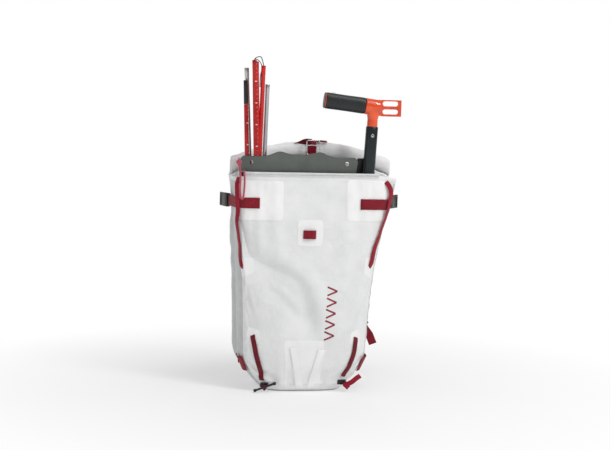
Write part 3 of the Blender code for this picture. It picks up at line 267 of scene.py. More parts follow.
def makeMoulded(name, light, dark, roughness, grain=420.0, depth=0.00006, coat=0.0):
    # moulded plastic: fine spark texture, tone drift, edges rubbed a little smoother
    material, tree, shader, place, _ = startFinish(name, Coat_Weight=coat, Coat_Roughness=0.12)
    fine = vary(tree, place, grain, 2.0, 0.6)
    flow = vary(tree, place, 28.0, 3.0)
    relief(tree, shader, fine, depth, 0.5, relief(tree, shader, flow, depth * 3, 0.35))
    tone = ramp(tree, flow, (0.3, dark), (0.7, light))
    scuff = range01(tree, vary(tree, place, 130.0, 5.0, 0.7, (1.0, 0.25, 1.0)), 0.60, 0.74, 0.0, 0.25)
    shade = blendColour(tree, scuff, tone, tuple(min(1.0, c * 1.5 + 0.02) for c in light))
    paint(tree, shader, shade, range01(tree, fine, 0.25, 0.75, roughness - 0.06, roughness + 0.10))
    return material


def makeMetal(
    name, light, dark, roughness, metallic, brush=(1.0, 1.0, 0.02), brushed=0.00003, scratched=0.25
):
    # anodised or bare metal: brushing along the piece, faint clouding, scratches on what rubs
    material, tree, shader, place, _ = startFinish(name, Metallic=metallic, Anisotropic=0.35)
    lines = vary(tree, place, 900.0, 2.0, 0.6, brush)
    cloud = vary(tree, place, 16.0, 4.0)
    relief(tree, shader, lines, brushed, 0.45)
    tone = ramp(tree, cloud, (0.3, dark), (0.7, light))
    marks = vary(tree, place, 95.0, 6.0, 0.75, (0.35, 1.0, 1.6))
    share = range01(tree, marks, 0.62, 0.72, 0.0, scratched)
    shade = blendColour(tree, share, tone, tuple(min(1.0, c * 1.6 + 0.08) for c in light))
    paint(tree, shader, shade, range01(tree, lines, 0.3, 0.7, roughness - 0.07, roughness + 0.10))
    return material


def makeScaleTube(name, light, dark, ticks, tickColour, cycle=0.010):
    # anodised tube with printed marks: u runs up it in metres, v round it from 0 to 1
    material, tree, shader, place, flat = startFinish(
        name, Metallic=0.55, Coat_Weight=0.3, Coat_Roughness=0.15
    )
    split = addNode(tree, "ShaderNodeSeparateXYZ", {"Vector": flat})
    u, v = split.outputs[0], split.outputs[1]
    cloud = vary(tree, place, 60.0, 3.0)
    tone = ramp(tree, cloud, (0.3, dark), (0.7, light))
    part = calc(tree, "FRACT", calc(tree, "MULTIPLY", u, 1 / cycle))
    mark = calc(tree, "LESS_THAN", part, 0.24)
    side = calc(tree, "ABSOLUTE", calc(tree, "SUBTRACT", v, 0.5))
    long = calc(tree, "LESS_THAN", calc(tree, "FRACT", calc(tree, "MULTIPLY", u, 0.2 / cycle)), 0.06)
    reach = calc(tree, "ADD", 0.11, calc(tree, "MULTIPLY", long, 0.14))
    printed = calc(tree, "MULTIPLY", mark, calc(tree, "LESS_THAN", side, reach))
    printed = calc(tree, "MULTIPLY", printed, ticks)
    rubbed = range01(tree, vary(tree, place, 500.0, 3.0), 0.32, 0.50, 0.35, 1.0)
    shade = blendColour(tree, calc(tree, "MULTIPLY", printed, rubbed), tone, tickColour)
    relief(tree, shader, vary(tree, place, 700.0, 2.0, 0.5, (1.0, 1.0, 0.03)), 0.00003, 0.4)
    paint(tree, shader, shade, range01(tree, cloud, 0.3, 0.7, 0.24, 0.36))
    return material


def makeSpacer(name, light, dark, pitch, depth):
    # knitted spacer mesh: rounded holes in staggered rows
    material, tree, shader, place, _ = startFinish(name, Sheen_Weight=0.25, Sheen_Roughness=0.5)
    cells = addNode(tree, "ShaderNodeTexVoronoi", {"Vector": place, "Scale": 1 / pitch, "Randomness": 0.25})
    hole = range01(tree, cells.outputs["Distance"], 0.22, 0.46, 0.0, 1.0)
    knit = vary(tree, place, 900.0, 2.0)
    relief(tree, shader, knit, 0.0002, 0.4, relief(tree, shader, hole, depth, 0.9))
    # painted shade: the sunken holes are coloured dark
    tone = blendColour(tree, hole, dark, light)
    drift = range01(tree, vary(tree, place, 18.0, 3.0), 0.35, 0.7, 0.0, 0.25)
    paint(
        tree, shader, blendColour(tree, drift, tone, tuple(c * 0.7 for c in light)),
        range01(tree, knit, 0.3, 0.7, 0.75, 0.95)
    )
    return material


def makeFleck(name, light, dark, fleck):
    # braided cord: u runs along it and v round it, strands cross on the slant, some of them pale
    material, tree, shader, _, flat = startFinish(name, Sheen_Weight=0.3, Sheen_Roughness=0.5)
    split = addNode(tree, "ShaderNodeSeparateXYZ", {"Vector": flat})
    u, v = split.outputs[0], split.outputs[1]
    waves = []
    for turn in (-1.0, 1.0):
        slant = calc(tree, "ADD", calc(tree, "MULTIPLY", u, 1 / 0.0030), calc(tree, "MULTIPLY", v, turn * 4))
        waves.append(calc(tree, "SINE", calc(tree, "MULTIPLY", slant, 2 * math.pi)))
    braid = calc(tree, "MAXIMUM", *waves)
    relief(tree, shader, braid, 0.00035, 0.8)
    # painted shade: the gaps between the strands are coloured darker
    tone = ramp(tree, range01(tree, braid, -0.4, 1.0), (0.1, dark), (0.7, light))
    pick = calc(
        tree, "MULTIPLY", calc(tree, "GREATER_THAN", waves[0], 0.55),
        calc(tree, "GREATER_THAN", waves[1], 0.1)
    )
    paint(tree, shader, blendColour(tree, calc(tree, "MULTIPLY", pick, 0.8), tone, fleck))
    shader.inputs["Roughness"].default_value = 0.75
    return material


def makeThread(name, light, dark):
    material, tree, shader, place, _ = startFinish(name, Roughness=0.7, Sheen_Weight=0.2)
    twist = vary(tree, place, 2600.0, 1.0)
    relief(tree, shader, twist, 0.0001, 0.5)
    paint(tree, shader, ramp(tree, twist, (0.35, dark), (0.65, light)))
    return material


finishes = {
    "whiteCloth": makeLaminate("whiteCloth", (0.835, 0.84, 0.84), (0.745, 0.752, 0.755), crinkle=1.25),
    # painted shade: a grey copy of the white cloth, darkened for the sides that face away from the light
    "shadedSideCloth": makeLaminate("shadedSideCloth", (0.56, 0.57, 0.575), (0.47, 0.48, 0.485), crinkle=1.3),
    # painted light: a brighter copy of the white cloth, lightened to stand in for light on the roll and its
    # neck
    "rollCloth": makeLaminate("rollCloth", (0.90, 0.90, 0.90), (0.84, 0.845, 0.85), crinkle=1.5),
    "baseCloth": makeLaminate("baseCloth", (0.30, 0.31, 0.32), (0.20, 0.21, 0.22), 0.004, 0.7, 0.62),
    "weldFilm": makeWeld("weldFilm", (0.90, 0.90, 0.895)),
    "redWebbing": makeWebbing(
        "redWebbing", (0.36, 0.004, 0.022), (0.105, 0.001, 0.008), 0.0024, ribDepth=0.0007
    ),
    "redTape": makeWebbing("redTape", (0.40, 0.005, 0.028), (0.19, 0.002, 0.013), 0.0014, 0.00022),
    "darkTape": makeWebbing("darkTape", (0.21, 0.0025, 0.015), (0.085, 0.001, 0.007), 0.0014, 0.00025),
    "greyBinding": makeWebbing("greyBinding", (0.42, 0.43, 0.44), (0.26, 0.27, 0.28), 0.0012, 0.0002),
    "blackAcetal": makeMoulded("blackAcetal", (0.010, 0.009, 0.010), (0.005, 0.005, 0.005), 0.34),
    "gripRubber": makeMoulded(
        "gripRubber", (0.009, 0.011, 0.012), (0.005, 0.006, 0.007), 0.38, 900.0, 0.00008
    ),
    "orangeTee": makeMoulded(
        "orangeTee", (0.80, 0.085, 0.006), (0.56, 0.035, 0.004), 0.20, 300.0, 0.00003, 0.6
    ),
    "bladeAlloy": makeMetal("bladeAlloy", (0.150, 0.165, 0.152), (0.112, 0.124, 0.114), 0.40, 0.62),
    "shaftAlloy": makeMetal("shaftAlloy", (0.040, 0.050, 0.053), (0.024, 0.030, 0.033), 0.30, 0.8),
    "silverTube": makeMetal("silverTube", (0.52, 0.53, 0.54), (0.40, 0.41, 0.42), 0.24, 1.0),
    "steelWire": makeMetal("steelWire", (0.66, 0.66, 0.67), (0.54, 0.54, 0.55), 0.22, 1.0, (1.0, 1.0, 1.0)),
    "scaleTube": makeScaleTube(
        "scaleTube", (0.54, 0.010, 0.010), (0.36, 0.006, 0.007), 1.0, (0.92, 0.80, 0.76)
    ),
    "redTube": makeScaleTube("redTube", (0.66, 0.020, 0.016), (0.56, 0.013, 0.012), 0.0, (0.9, 0.8, 0.8)),
    "blackTube": makeScaleTube(
        "blackTube", (0.024, 0.020, 0.021), (0.012, 0.010, 0.011), 0.6, (0.42, 0.03, 0.04), 0.013
    ),
    "cableSheath": makeMoulded(
        "cableSheath", (0.016, 0.016, 0.018), (0.008, 0.008, 0.009), 0.35, 800.0, 0.00005
    ),
    "zipTape": makeWebbing("zipTape", (0.82, 0.82, 0.82), (0.66, 0.67, 0.68), 0.0009, 0.00012),
    "coilTeeth": makeMoulded("coilTeeth", (0.80, 0.80, 0.80), (0.66, 0.66, 0.66), 0.35, 900.0, 0.00003),
    "fleckCord": makeFleck("fleckCord", (0.50, 0.012, 0.060), (0.20, 0.004, 0.022), (0.88, 0.46, 0.54)),
    "spacerMesh": makeSpacer("spacerMesh", (0.34, 0.35, 0.36), (0.05, 0.052, 0.055), 0.0042, 0.0012),
    "dividerMesh": makeSpacer("dividerMesh", (0.045, 0.045, 0.048), (0.006, 0.006, 0.007), 0.0030, 0.0006),
    "stiffSheet": makeMoulded("stiffSheet", (0.12, 0.12, 0.125), (0.08, 0.08, 0.085), 0.5, 200.0, 0.0001),
    "redThread": makeThread("redThread", (0.52, 0.03, 0.07), (0.24, 0.01, 0.03)),
    "whiteThread": makeThread("whiteThread", (0.90, 0.90, 0.90), (0.66, 0.67, 0.68)),
    "printInk": makeMoulded("printInk", (0.30, 0.010, 0.035), (0.24, 0.008, 0.028), 0.6, 700.0, 0.00004),
}
print("materials made:", len(finishes))

# the bag's outer surface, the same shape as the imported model's
bag = {
    "halfWidth": 0.153,
    "leftFlare": 0.027,
    "rightFlare": 0.066,
    "rim": 0.548,
    "rimDroop": 0.042,
    "baseTuck": 0.060,
    "baseRise": 0.105,
    "backY": 0.085,
    "mainDepth": 0.130,
    "rimHalfDepth": 0.022,
    "flattenFrom": 0.108,
    "frontY": -0.108,
    "seamY": -0.005,
    "frontTuck": 0.034,
    "backTuck": 0.012,
    "mouth": 0.519,
    "mouthDroop": 0.012,
    "mainInset": 0.0036,
    "pocketFloor": 0.0031,
    "mainFloor": 0.0056,
}
bag["midY"] = bag["backY"] - bag["mainDepth"] / 2
bagCentre = (0, bag["midY"], 0.27)


def tuck(z):
    return max(0.0, 1 - z / bag["baseRise"]) ** 2


def halfWidth(z, side=1.0):
    flare = bag["rightFlare"] if side > 0 else bag["leftFlare"]
    return bag["halfWidth"] + flare * (z / bag["rim"]) ** 2 - bag["baseTuck"] * tuck(z)


def middleX(z):
    return (halfWidth(z, 1.0) - halfWidth(z, -1.0)) / 2


def meanWidth(z):
    return (halfWidth(z, 1.0) + halfWidth(z, -1.0)) / 2


def squareness(z):
    return 3.5 + 4.0 * ease((z - bag["mouth"]) / 0.24 + 1)


def bareSkin(q, z):
    # q is 0 at the front's middle, 1 at a side seam, then metres behind it
    side, around = math.copysign(1.0, q), abs(q)
    if around > 1:
        return Vector((side * halfWidth(z, side), bag["seamY"] + around - 1, z))
    angle, power = around * math.pi / 2, 2 / squareness(z)
    deep = bag["seamY"] - bag["frontY"] - bag["frontTuck"] * tuck(z)
    x = side * halfWidth(z, side) * math.sin(angle) ** power
    return Vector((x, bag["seamY"] - deep * math.cos(angle) ** power, z))


def skinNormal(q, z):
    step = 0.004
    low, high = (q - step, q + step) if abs(q) > step else (-step, step)
    along = bareSkin(high, z) - bareSkin(low, z)
    up = bareSkin(q, z + step) - bareSkin(q, max(z - step, 0.0))
    return along.cross(up).normalized()


def skin(q, z, lift):
    return bareSkin(q, z) + skinNormal(q, z) * lift


def qAt(x, z):
    share = min(abs(x) / halfWidth(z, x), 1.0)
    return math.copysign(math.asin(share ** (squareness(z) / 2)) / (math.pi / 2), x)


def mainHalfDepth(z):
    flat = ease((z - bag["rim"] + bag["flattenFrom"]) / bag["flattenFrom"])
    return mix(bag["mainDepth"] / 2, bag["rimHalfDepth"], flat)


def rimDrop(x, z):
    share = ease((z - bag["rim"] + 1.3 * bag["flattenFrom"]) / (1.3 * bag["flattenFrom"]))
    return bag["rimDroop"] * share * ((x - middleX(z)) / meanWidth(z)) ** 2


rollX = middleX(bag["rim"])


# small tools for meshes


def addPiece(name, mesh, finish, body=None):
    mesh.shade_smooth()
    made = bpy.data.objects.new(name, mesh)
    scene.collection.objects.link(made)
    if finish:
        mesh.materials.append(finishes[finish])
    if body:
        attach(made, body)
    return made


def turnOut(mesh, centre=None):
    # a closed shell is turned by its own normals, an open sheet away from a point inside the pack
    shape = bmesh.new()
    shape.from_mesh(mesh)
    if centre is None:
        bmesh.ops.recalc_face_normals(shape, faces=shape.faces)
    else:
        middle = Vector(centre)
        facing = sum((f.calc_center_median() - middle).dot(f.normal) * f.calc_area() for f in shape.faces)
        if facing < 0:
            bmesh.ops.reverse_faces(shape, faces=shape.faces)
    shape.to_mesh(mesh)
    shape.free()


def gridMesh(name, rows, flat, around=False, caps=False, loop=False, centre=None):
    # rows of points joined by quads, flat holds each point's place on the unrolled cloth in metres
    cols, count = len(rows[0]), len(rows)
    points = [tuple(p) for row in rows for p in row]
    faces, corners = [], []
    for k in range(count if loop else count - 1):
        n = (k + 1) % count
        for i in range(cols if around else cols - 1):
            j = (i + 1) % cols
            faces.append((k * cols + i, k * cols + j, n * cols + j, n * cols + i))
            corners += [flat(k, i), flat(k, i + 1), flat(k + 1, i + 1), flat(k + 1, i)]
    if caps:
        for k, order in ((0, range(cols - 1, -1, -1)), (count - 1, range(cols))):
            faces.append(tuple(k * cols + i for i in order))
            corners += [flat(k, i) for i in order]
    mesh = bpy.data.meshes.new(name)
    mesh.from_pydata(points, [], faces)
    layer = mesh.uv_layers.new(name="flat")
    layer.data.foreach_set("uv", [c for corner in corners for c in corner])
    turnOut(mesh, centre if not caps and not loop else None)
    return mesh


def bake(piece):
    # live modifiers become the piece's own mesh
    graph = bpy.context.evaluated_depsgraph_get()
    graph.update()
    mesh = bpy.data.meshes.new_from_object(
        piece.evaluated_get(graph), preserve_all_data_layers=True, depsgraph=graph
    )
    piece.modifiers.clear()
    piece.data = mesh
    mesh.shade_smooth()
    return piece


def subdivide(piece, levels=1):
    step = piece.modifiers.new("smooth", "SUBSURF")
    step.levels = step.render_levels = levels
    step.uv_smooth = "PRESERVE_BOUNDARIES"
    return bake(piece)


def thicken(piece, thickness, offset=-1.0):
    step = piece.modifiers.new("wall", "SOLIDIFY")
    step.thickness = thickness
    step.offset = offset
    step.use_rim = True
    return bake(piece)


def moveOut(piece, amount):
    # pushes each point along its normal by amount(point), in metres
    normals = [v.normal.copy() for v in piece.data.vertices]
    for vertex, normal in zip(piece.data.vertices, normals):
        vertex.co += normal * amount(vertex.co)
    piece.data.update()


def smoothPath(points, count):
    points = [Vector(p) for p in points]
    ends = [2 * points[0] - points[1], *points, 2 * points[-1] - points[-2]]
    found = []
    for k in range(count):
        t = k / (count - 1) * (len(points) - 1)
        i = min(int(t), len(points) - 2)
        u, (a, b, c, d) = t - i, ends[i : i + 4]
        found.append(0.5 * (
            2 * b + (c - a) * u + (2 * a - 5 * b + 4 * c - d) * u**2 + (3 * b - a - 3 * c + d) * u**3
        ))
    return found


def evenly(points, step):
    # the same line with points about one step apart
    points = [Vector(p) for p in points]
    along = [0.0]
    for a, b in zip(points, points[1:]):
        along.append(along[-1] + (b - a).length)
    count = max(2, round(along[-1] / step) + 1)
    found, k = [], 0
    for n in range(count):
        at = along[-1] * n / (count - 1)
        while k < len(points) - 2 and along[k + 1] < at:
            k += 1
        found.append(points[k].lerp(points[k + 1], (at - along[k]) / max(along[k + 1] - along[k], 1e-9)))
    return found


def tangents(points, closed=False):
    last = len(points) - 1
    if closed:
        return [(points[(k + 1) % (last + 1)] - points[k - 1]).normalized() for k in range(last + 1)]
    return [(points[min(k + 1, last)] - points[max(k - 1, 0)]).normalized() for k in range(last + 1)]


def frameAt(origin, along, normal):
    along = Vector(along).normalized()
    across = Vector(normal).cross(along).normalized()
    place = Matrix((along, across, along.cross(across))).transposed().to_4x4()
    place.translation = Vector(origin)
    return place


def tubeMesh(name, points, radius, sides=20, closed=False, caps=True, squash=None, start=None):
    # a round bar along a line, its u in metres and its v once round
    rings, normal, travel = [], start, [0.0]
    for k, (point, along) in enumerate(zip(points, tangents(points, closed))):
        normal = along.orthogonal().normalized() if normal is None else normal
        normal = (normal - along * normal.dot(along)).normalized()
        side = along.cross(normal)
        size = radius(k / max(len(points) - 1, 1)) if callable(radius) else radius
        wide, tall = squash(k / max(len(points) - 1, 1)) if squash else (1.0, 1.0)
        ring = []
        for i in range(sides):
            angle = 2 * math.pi * i / sides
            ring.append(
                point + normal * math.cos(angle) * size * wide + side * math.sin(angle) * size * tall
            )
        rings.append(ring)
        if k:
            travel.append(travel[-1] + (point - points[k - 1]).length)
    travel.append(travel[-1] + (points[0] - points[-1]).length)
    flat = lambda k, i: (travel[k], i / sides)
    return gridMesh(name, rings, flat, around=True, caps=caps and not closed, loop=closed)


def ribbonMesh(name, points, normals, width, thickness, widths=None, corner=0.35):
    # a strap with rounded edges: eight points round it at each station
    rings, travel = [], [0.0]
    for k, (point, along) in enumerate(zip(points, tangents(points))):
        across = Vector(normals[k]).cross(along).normalized()
        out = along.cross(across)
        half = (widths[k] if widths else width) / 2
        rise = thickness / 2
        shape = [
            (-1, -0.35), (-1 + corner * 0.08, -1), (-0.5, -0.94), (0.5, -0.94), (1 - corner * 0.08, -1),
            (1, -0.35)
        ]
        shape += [
            (1, 0.35), (1 - corner * 0.08, 1), (0.5, 0.94), (-0.5, 0.94), (-1 + corner * 0.08, 1),
            (-1, 0.35)
        ]
        rings.append([point + across * half * a + out * rise * b for a, b in shape])
        if k:
            travel.append(travel[-1] + (point - points[k - 1]).length)
    places = [-1, -0.97, -0.5, 0.5, 0.97, 1, 1, 0.97, 0.5, -0.5, -0.97, -1, -1]
    half = (max(widths) if widths else width) / 2
    return gridMesh(name, rings, lambda k, i: (travel[k], places[i] * half), around=True, caps=True)


def joined(name, meshes, finish=None, body=None):
    shape = bmesh.new()
    for mesh in meshes:
        shape.from_mesh(mesh)
    mesh = bpy.data.meshes.new(name)
    shape.to_mesh(mesh)
    shape.free()
    return addPiece(name, mesh, finish, body)


def crinkle(point, amount, size):
    # shallow creases with soft floors, as coated cloth takes
    place = point / size
    broad = noise.noise(place) * 0.9
    ridge = 1 - abs(noise.noise(place * 1.9 + Vector((7, 3, 1)))) * 2.6
    fine = 1 - abs(noise.noise(place * 4.3 + Vector((1, 9, 4)))) * 2.4
    return amount * (broad + 0.42 * max(ridge, 0.0) + 0.16 * max(fine, 0.0) - 0.25)


def slackCloth(piece, pinned, slack, frames, cap, pressure=0.0, bending=0.4, gravity=1.0):
    # lets a pinned sheet of cloth settle, then keeps its shape
    before = [v.co.copy() for v in piece.data.vertices]
    held = piece.vertex_groups.new(name="held")
    for k, point in enumerate(before):
        share = pinned(point, k)
        if share > 0:
            held.add([k], share, "REPLACE")
    step = piece.modifiers.new("cloth", "CLOTH")
    cloth = step.settings
    cloth.quality = 6
    cloth.mass = 0.12
    cloth.tension_stiffness = cloth.compression_stiffness = 12
    cloth.shear_stiffness = 6
    cloth.bending_stiffness = bending
    cloth.vertex_group_mass = "held"
    cloth.shrink_min = -slack
    cloth.effector_weights.gravity = gravity
    if pressure:
        cloth.use_pressure = True
        cloth.uniform_pressure_force = pressure
    step.point_cache.frame_end = frames
    step.collision_settings.use_collision = False
    for number in range(1, frames + 1):
        scene.frame_set(number)
    graph = bpy.context.evaluated_depsgraph_get()
    found = [v.co.copy() for v in piece.evaluated_get(graph).data.vertices]
    piece.modifiers.clear()
    piece.vertex_groups.clear()
    scene.frame_set(1)
    for vertex, old, new in zip(piece.data.vertices, before, found):
        shift = new - old
        length = shift.length
        vertex.co = old + shift * (cap * math.tanh(length / cap) / length if length > 1e-9 else 1.0)
    piece.data.update()


# front tool pocket

pocket = {
    "across": 96,
    "up": 84,
    "slack": 0.020,
    "cap": 0.0065,
    "frames": 18,
    "crinkle": 0.00075,
    "crinkleSize": 0.030,
    "wall": 0.0009,
    "hollow": 0.0115,  # depth of the dent left of the long fold
    # the long fold that runs from the upper left to the lower middle, as x and z
    "fold": (
        (-0.140, 0.334), (-0.112, 0.324), (-0.060, 0.304), (-0.017, 0.279), (0.004, 0.248), (0.018, 0.212),
        (0.028, 0.158), (0.040, 0.108)
    ),
    "shortFold": ((-0.098, 0.262), (-0.060, 0.238), (-0.028, 0.205), (-0.012, 0.172)),
}


def fromLine(x, z, line):
    # signed distance to a broken line, positive on its lower left, and the share along it
    best = (9.0, 0.0, 0.0)
    for k, ((ax, az), (bx, bz)) in enumerate(zip(line, line[1:])):
        dx, dz = bx - ax, bz - az
        t = min(max(((x - ax) * dx + (z - az) * dz) / (dx * dx + dz * dz), 0.0), 1.0)
        px, pz = x - ax - dx * t, z - az - dz * t
        away = math.hypot(px, pz)
        if away < best[0]:
            best = (away, math.copysign(away, dx * -pz + dz * px), (k + t) / (len(line) - 1))
    return best[1], best[2]


def pocketShape(point):
    x, z = point.x, point.z
    inFront = ease((-point.y - 0.055) / 0.03)
    away, along = fromLine(x, z, pocket["fold"])
    ends = ease(along / 0.14) * ease((1 - along) / 0.22)
    hollow = ease((away + 0.004) / 0.024) * (1 - ease((away - 0.018) / 0.085))
    lip = bump(away, -0.014, 0.016)
    moved = (-pocket["hollow"] * hollow + 0.0036 * lip) * ends
    away, along = fromLine(x, z, pocket["shortFold"])
    ends = ease(along / 0.2) * ease((1 - along) / 0.3)
    moved += (
        -0.0030 * ease((away + 0.003) / 0.016) * (1 - ease((away - 0.010) / 0.035))
        + 0.0012 * bump(away, -0.008, 0.009)
    ) * ends
    moved += -0.0045 * bump(x, -0.078, 0.030) * bump(z, 0.165, 0.045)
    moved += 0.0025 * bump(x, 0.085, 0.05) * bump(z, 0.24, 0.09)
    moved += -0.0022 * bump(x, 0.110, 0.016) * bump(z, 0.215, 0.075)
    # upright pleats between the base strips and the corners
    for at, wide, deep in (
        (-0.067, 0.009, 0.0032), (-0.049, 0.007, -0.0020), (-0.088, 0.010, -0.0016),
        (0.052, 0.008, -0.0018), (0.068, 0.010, 0.0020)
    ):
        lean = at * (0.78 + 2.4 * z)
        moved += deep * bump(x, lean, wide) * (1 - ease((z - 0.020) / 0.055))
    # the cloth sinks a little between the stitched patches under the mouth
    moved += -0.0016 * bump(z, 0.462, 0.020) * bump(x, 0.0, 0.10)
    moved += 0.0010 * math.sin(x * 52 + z * 11) * bump(z, 0.489, 0.014)
    return moved * inFront


def makePocket():
    rows, lows = [], []
    cols, levels = pocket["across"], pocket["up"]
    for k in range(levels + 1):
        z = mix(bag["pocketFloor"], bag["mouth"], k / levels)
        row = []
        for i in range(cols + 1):
            p = bareSkin(2 * i / cols - 1, z)
            p.z -= bag["mouthDroop"] * ease(z / bag["mouth"] * 5 - 4) * (abs(p.x) / halfWidth(z, p.x)) ** 5
            row.append(p)
        rows.append(row)
        length = [0.0]
        for a, b in zip(row, row[1:]):
            length.append(length[-1] + (b - a).length)
        lows.append([v - length[cols // 2] for v in length])
    mesh = gridMesh(
        "pocketCloth", rows, lambda k, i: (lows[k][i], rows[k][i].z), centre=bagCentre
    )
    cloth = addPiece("pocketCloth", mesh, "whiteCloth")
    mouth, floor = bag["mouth"], bag["pocketFloor"]

    def pinned(point, k):
        edge = 0.0
        if point.y > -0.05:
            edge = max(bump(abs(point.x), halfWidth(point.z, point.x) + 0.004, 0.010), 0.0)
        top = ease((point.z - mouth + 0.034) / 0.020)
        low = ease((floor + 0.022 - point.z) / 0.020)
        corner = 0.55 * bump(point.y, -0.055, 0.022)
        return min(1.0, max(edge, top, low, corner))

    slackCloth(cloth, pinned, pocket["slack"], pocket["frames"], pocket["cap"], 0.30, 0.6)
    subdivide(cloth)

    def amount(point):
        calm = 1 - 0.9 * ease((point.z - mouth + 0.020) / 0.012)
        calm *= ease((point.z - floor) / 0.010) * ease((bag["seamY"] - point.y) / 0.018)
        seam = 0.0007 * math.sin(point.z * 165 + 2.0 * math.sin(point.z * 31)) * bump(point.y, -0.050, 0.018)
        return calm * (pocketShape(point) + crinkle(point, pocket["crinkle"], pocket["crinkleSize"]) + seam)

    moveOut(cloth, amount)
    # the cloth stays clear of the blade behind it
    for vertex in cloth.data.vertices:
        p = vertex.co
        if p.y < -0.07:
            limit = -0.0909 + 0.0065 * ((p.x + 0.0249) / 0.14) ** 2 - 0.0040
            near = ease((0.165 - abs(p.x + 0.0249)) / 0.030) * ease((p.z - 0.215) / 0.045)
            p.y -= max(0.0, p.y - limit) * near
    cloth.data.update()
    return cloth


pocketCloth = makePocket()
pocketFace = BVHTree.FromObject(pocketCloth, bpy.context.evaluated_depsgraph_get())


def onCloth(q, z, lift):
    # a point over the finished pocket cloth, found along the plain surface's normal
    base, out = bareSkin(q, z), skinNormal(q, z)
    hit = pocketFace.ray_cast(base + out * 0.03, -out, 0.06)[0]
    if hit is None:
        return base + out * lift
    return hit + out * lift


thicken(pocketCloth, pocket["wall"])
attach(pocketCloth, "pack")
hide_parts("front_pocket")
print("front pocket made")

# main bag: body cloth, and a neck that stretches up to the rolled mouth

mainBag = {
    "around": 168,
    "up": 92,
    "neckFrom": 0.470,
    "neckRows": 34,
    "crinkle": 0.0009,
    "crinkleSize": 0.034,
    "wall": 0.0009,
}


def mainRing(z, count, lift=0.0):
    deep = mainHalfDepth(z) - bag["backTuck"] * tuck(z) / 2 + lift
    middle = bag["midY"] - bag["backTuck"] * tuck(z) / 2
    flat = ease((z - bag["rim"] + bag["flattenFrom"]) / bag["flattenFrom"])
    power = 2 / mix(5.0, 2.6, flat)
    ring = []
    for k in range(count):
        angle = 2 * math.pi * k / count
        x = signedPower(math.cos(angle), power)
        x *= halfWidth(z, x) - bag["mainInset"] + lift
        ring.append(Vector((x, middle + deep * signedPower(math.sin(angle), power), z - rimDrop(x, z))))
    return ring


def bagWall(name, low, high, count, finish):
    around = mainBag["around"]
    rows = [mainRing(mix(low, high, k / count), around) for k in range(count + 1)]
    lengths = []
    for row in rows:
        length = [0.0]
        for k in range(around):
            length.append(length[-1] + (row[(k + 1) % around] - row[k]).length)
        lengths.append(length)
    mesh = gridMesh(
        name, rows, lambda k, i: (lengths[k][i], rows[k][0].z), around=True, centre=bagCentre
    )
    return addPiece(name, mesh, finish)


def makeMainBag():
    # the main bag is drawn in the grey painted-shade copy of the white cloth
    cloth = bagWall("mainCloth", bag["mainFloor"], mainBag["neckFrom"], mainBag["up"], "shadedSideCloth")
    seam = bag["seamY"]

    def amount(point):
        free = ease((point.y - seam - 0.004) / 0.012) * ease((0.470 - point.z) / 0.03)
        free *= ease((point.z - 0.004) / 0.02)
        atSide = bump(point.y, 0.035, 0.030)
        pleats = 0.0012 * math.sin(point.z * 74 + 3.0 * math.sin(point.z * 19)) * atSide
        sag = 0.0018 * math.sin(point.z * 15 + 0.8) * atSide
        onBack = ease((point.y - 0.060) / 0.015)
        full = 0.0080 * ease((0.420 - point.z) / 0.05) * ease((point.z - 0.030) / 0.08)
        full *= ease((-point.x - 0.07) / 0.05) * (1 - 0.6 * onBack) * free
        moved = pleats + sag + crinkle(point, mainBag["crinkle"], mainBag["crinkleSize"])
        return full + free * moved * (1 - 0.75 * onBack)

    moveOut(cloth, amount)
    thicken(cloth, mainBag["wall"])
    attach(cloth, "pack")
    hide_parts("main_bag")
    # the neck uses the brighter painted-light copy of the white cloth
    neck = bagWall(
        "neckCloth", mainBag["neckFrom"] - 0.001, bag["rim"] - 0.0005, mainBag["neckRows"], "rollCloth"
    )

    def gather(point):
        rise = ease((point.z - 0.478) / 0.03)
        onFront = -1.0 if point.y < bag["midY"] else 1.0
        waves = math.sin(point.x * 118 + 4 * math.sin(point.x * 23)) + 0.6 * math.sin(point.x * 251 + 1.3)
        held = 1 - 0.7 * ease((point.z - 0.528) / 0.02)
        return rise * held * (0.0011 * waves + crinkle(point, 0.0012, 0.026)) * (1.0 if onFront < 0 else 0.8)

    moveOut(neck, gather)
    thicken(neck, mainBag["wall"])
    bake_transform(neck)
    return cloth, neck


mainCloth, neckCloth = makeMainBag()
print("main bag made")

# rolled mouth: one sheet wound round its stiffener

roll = {
    "turns": 2.6,
    "layer": 0.0021,
    "ry": 0.0184,
    "rz": 0.0204,
    "stations": 110,
    "round": 34,  # points in each turn
    "endInset": 0.0045,
    "wall": 0.0007,
}


def rollMiddle(x):
    drop = bag["rimDroop"] * ((x - rollX) / meanWidth(bag["rim"])) ** 2
    return Vector((x, bag["midY"], bag["rim"] + 0.0009 + 0.0205 - drop))


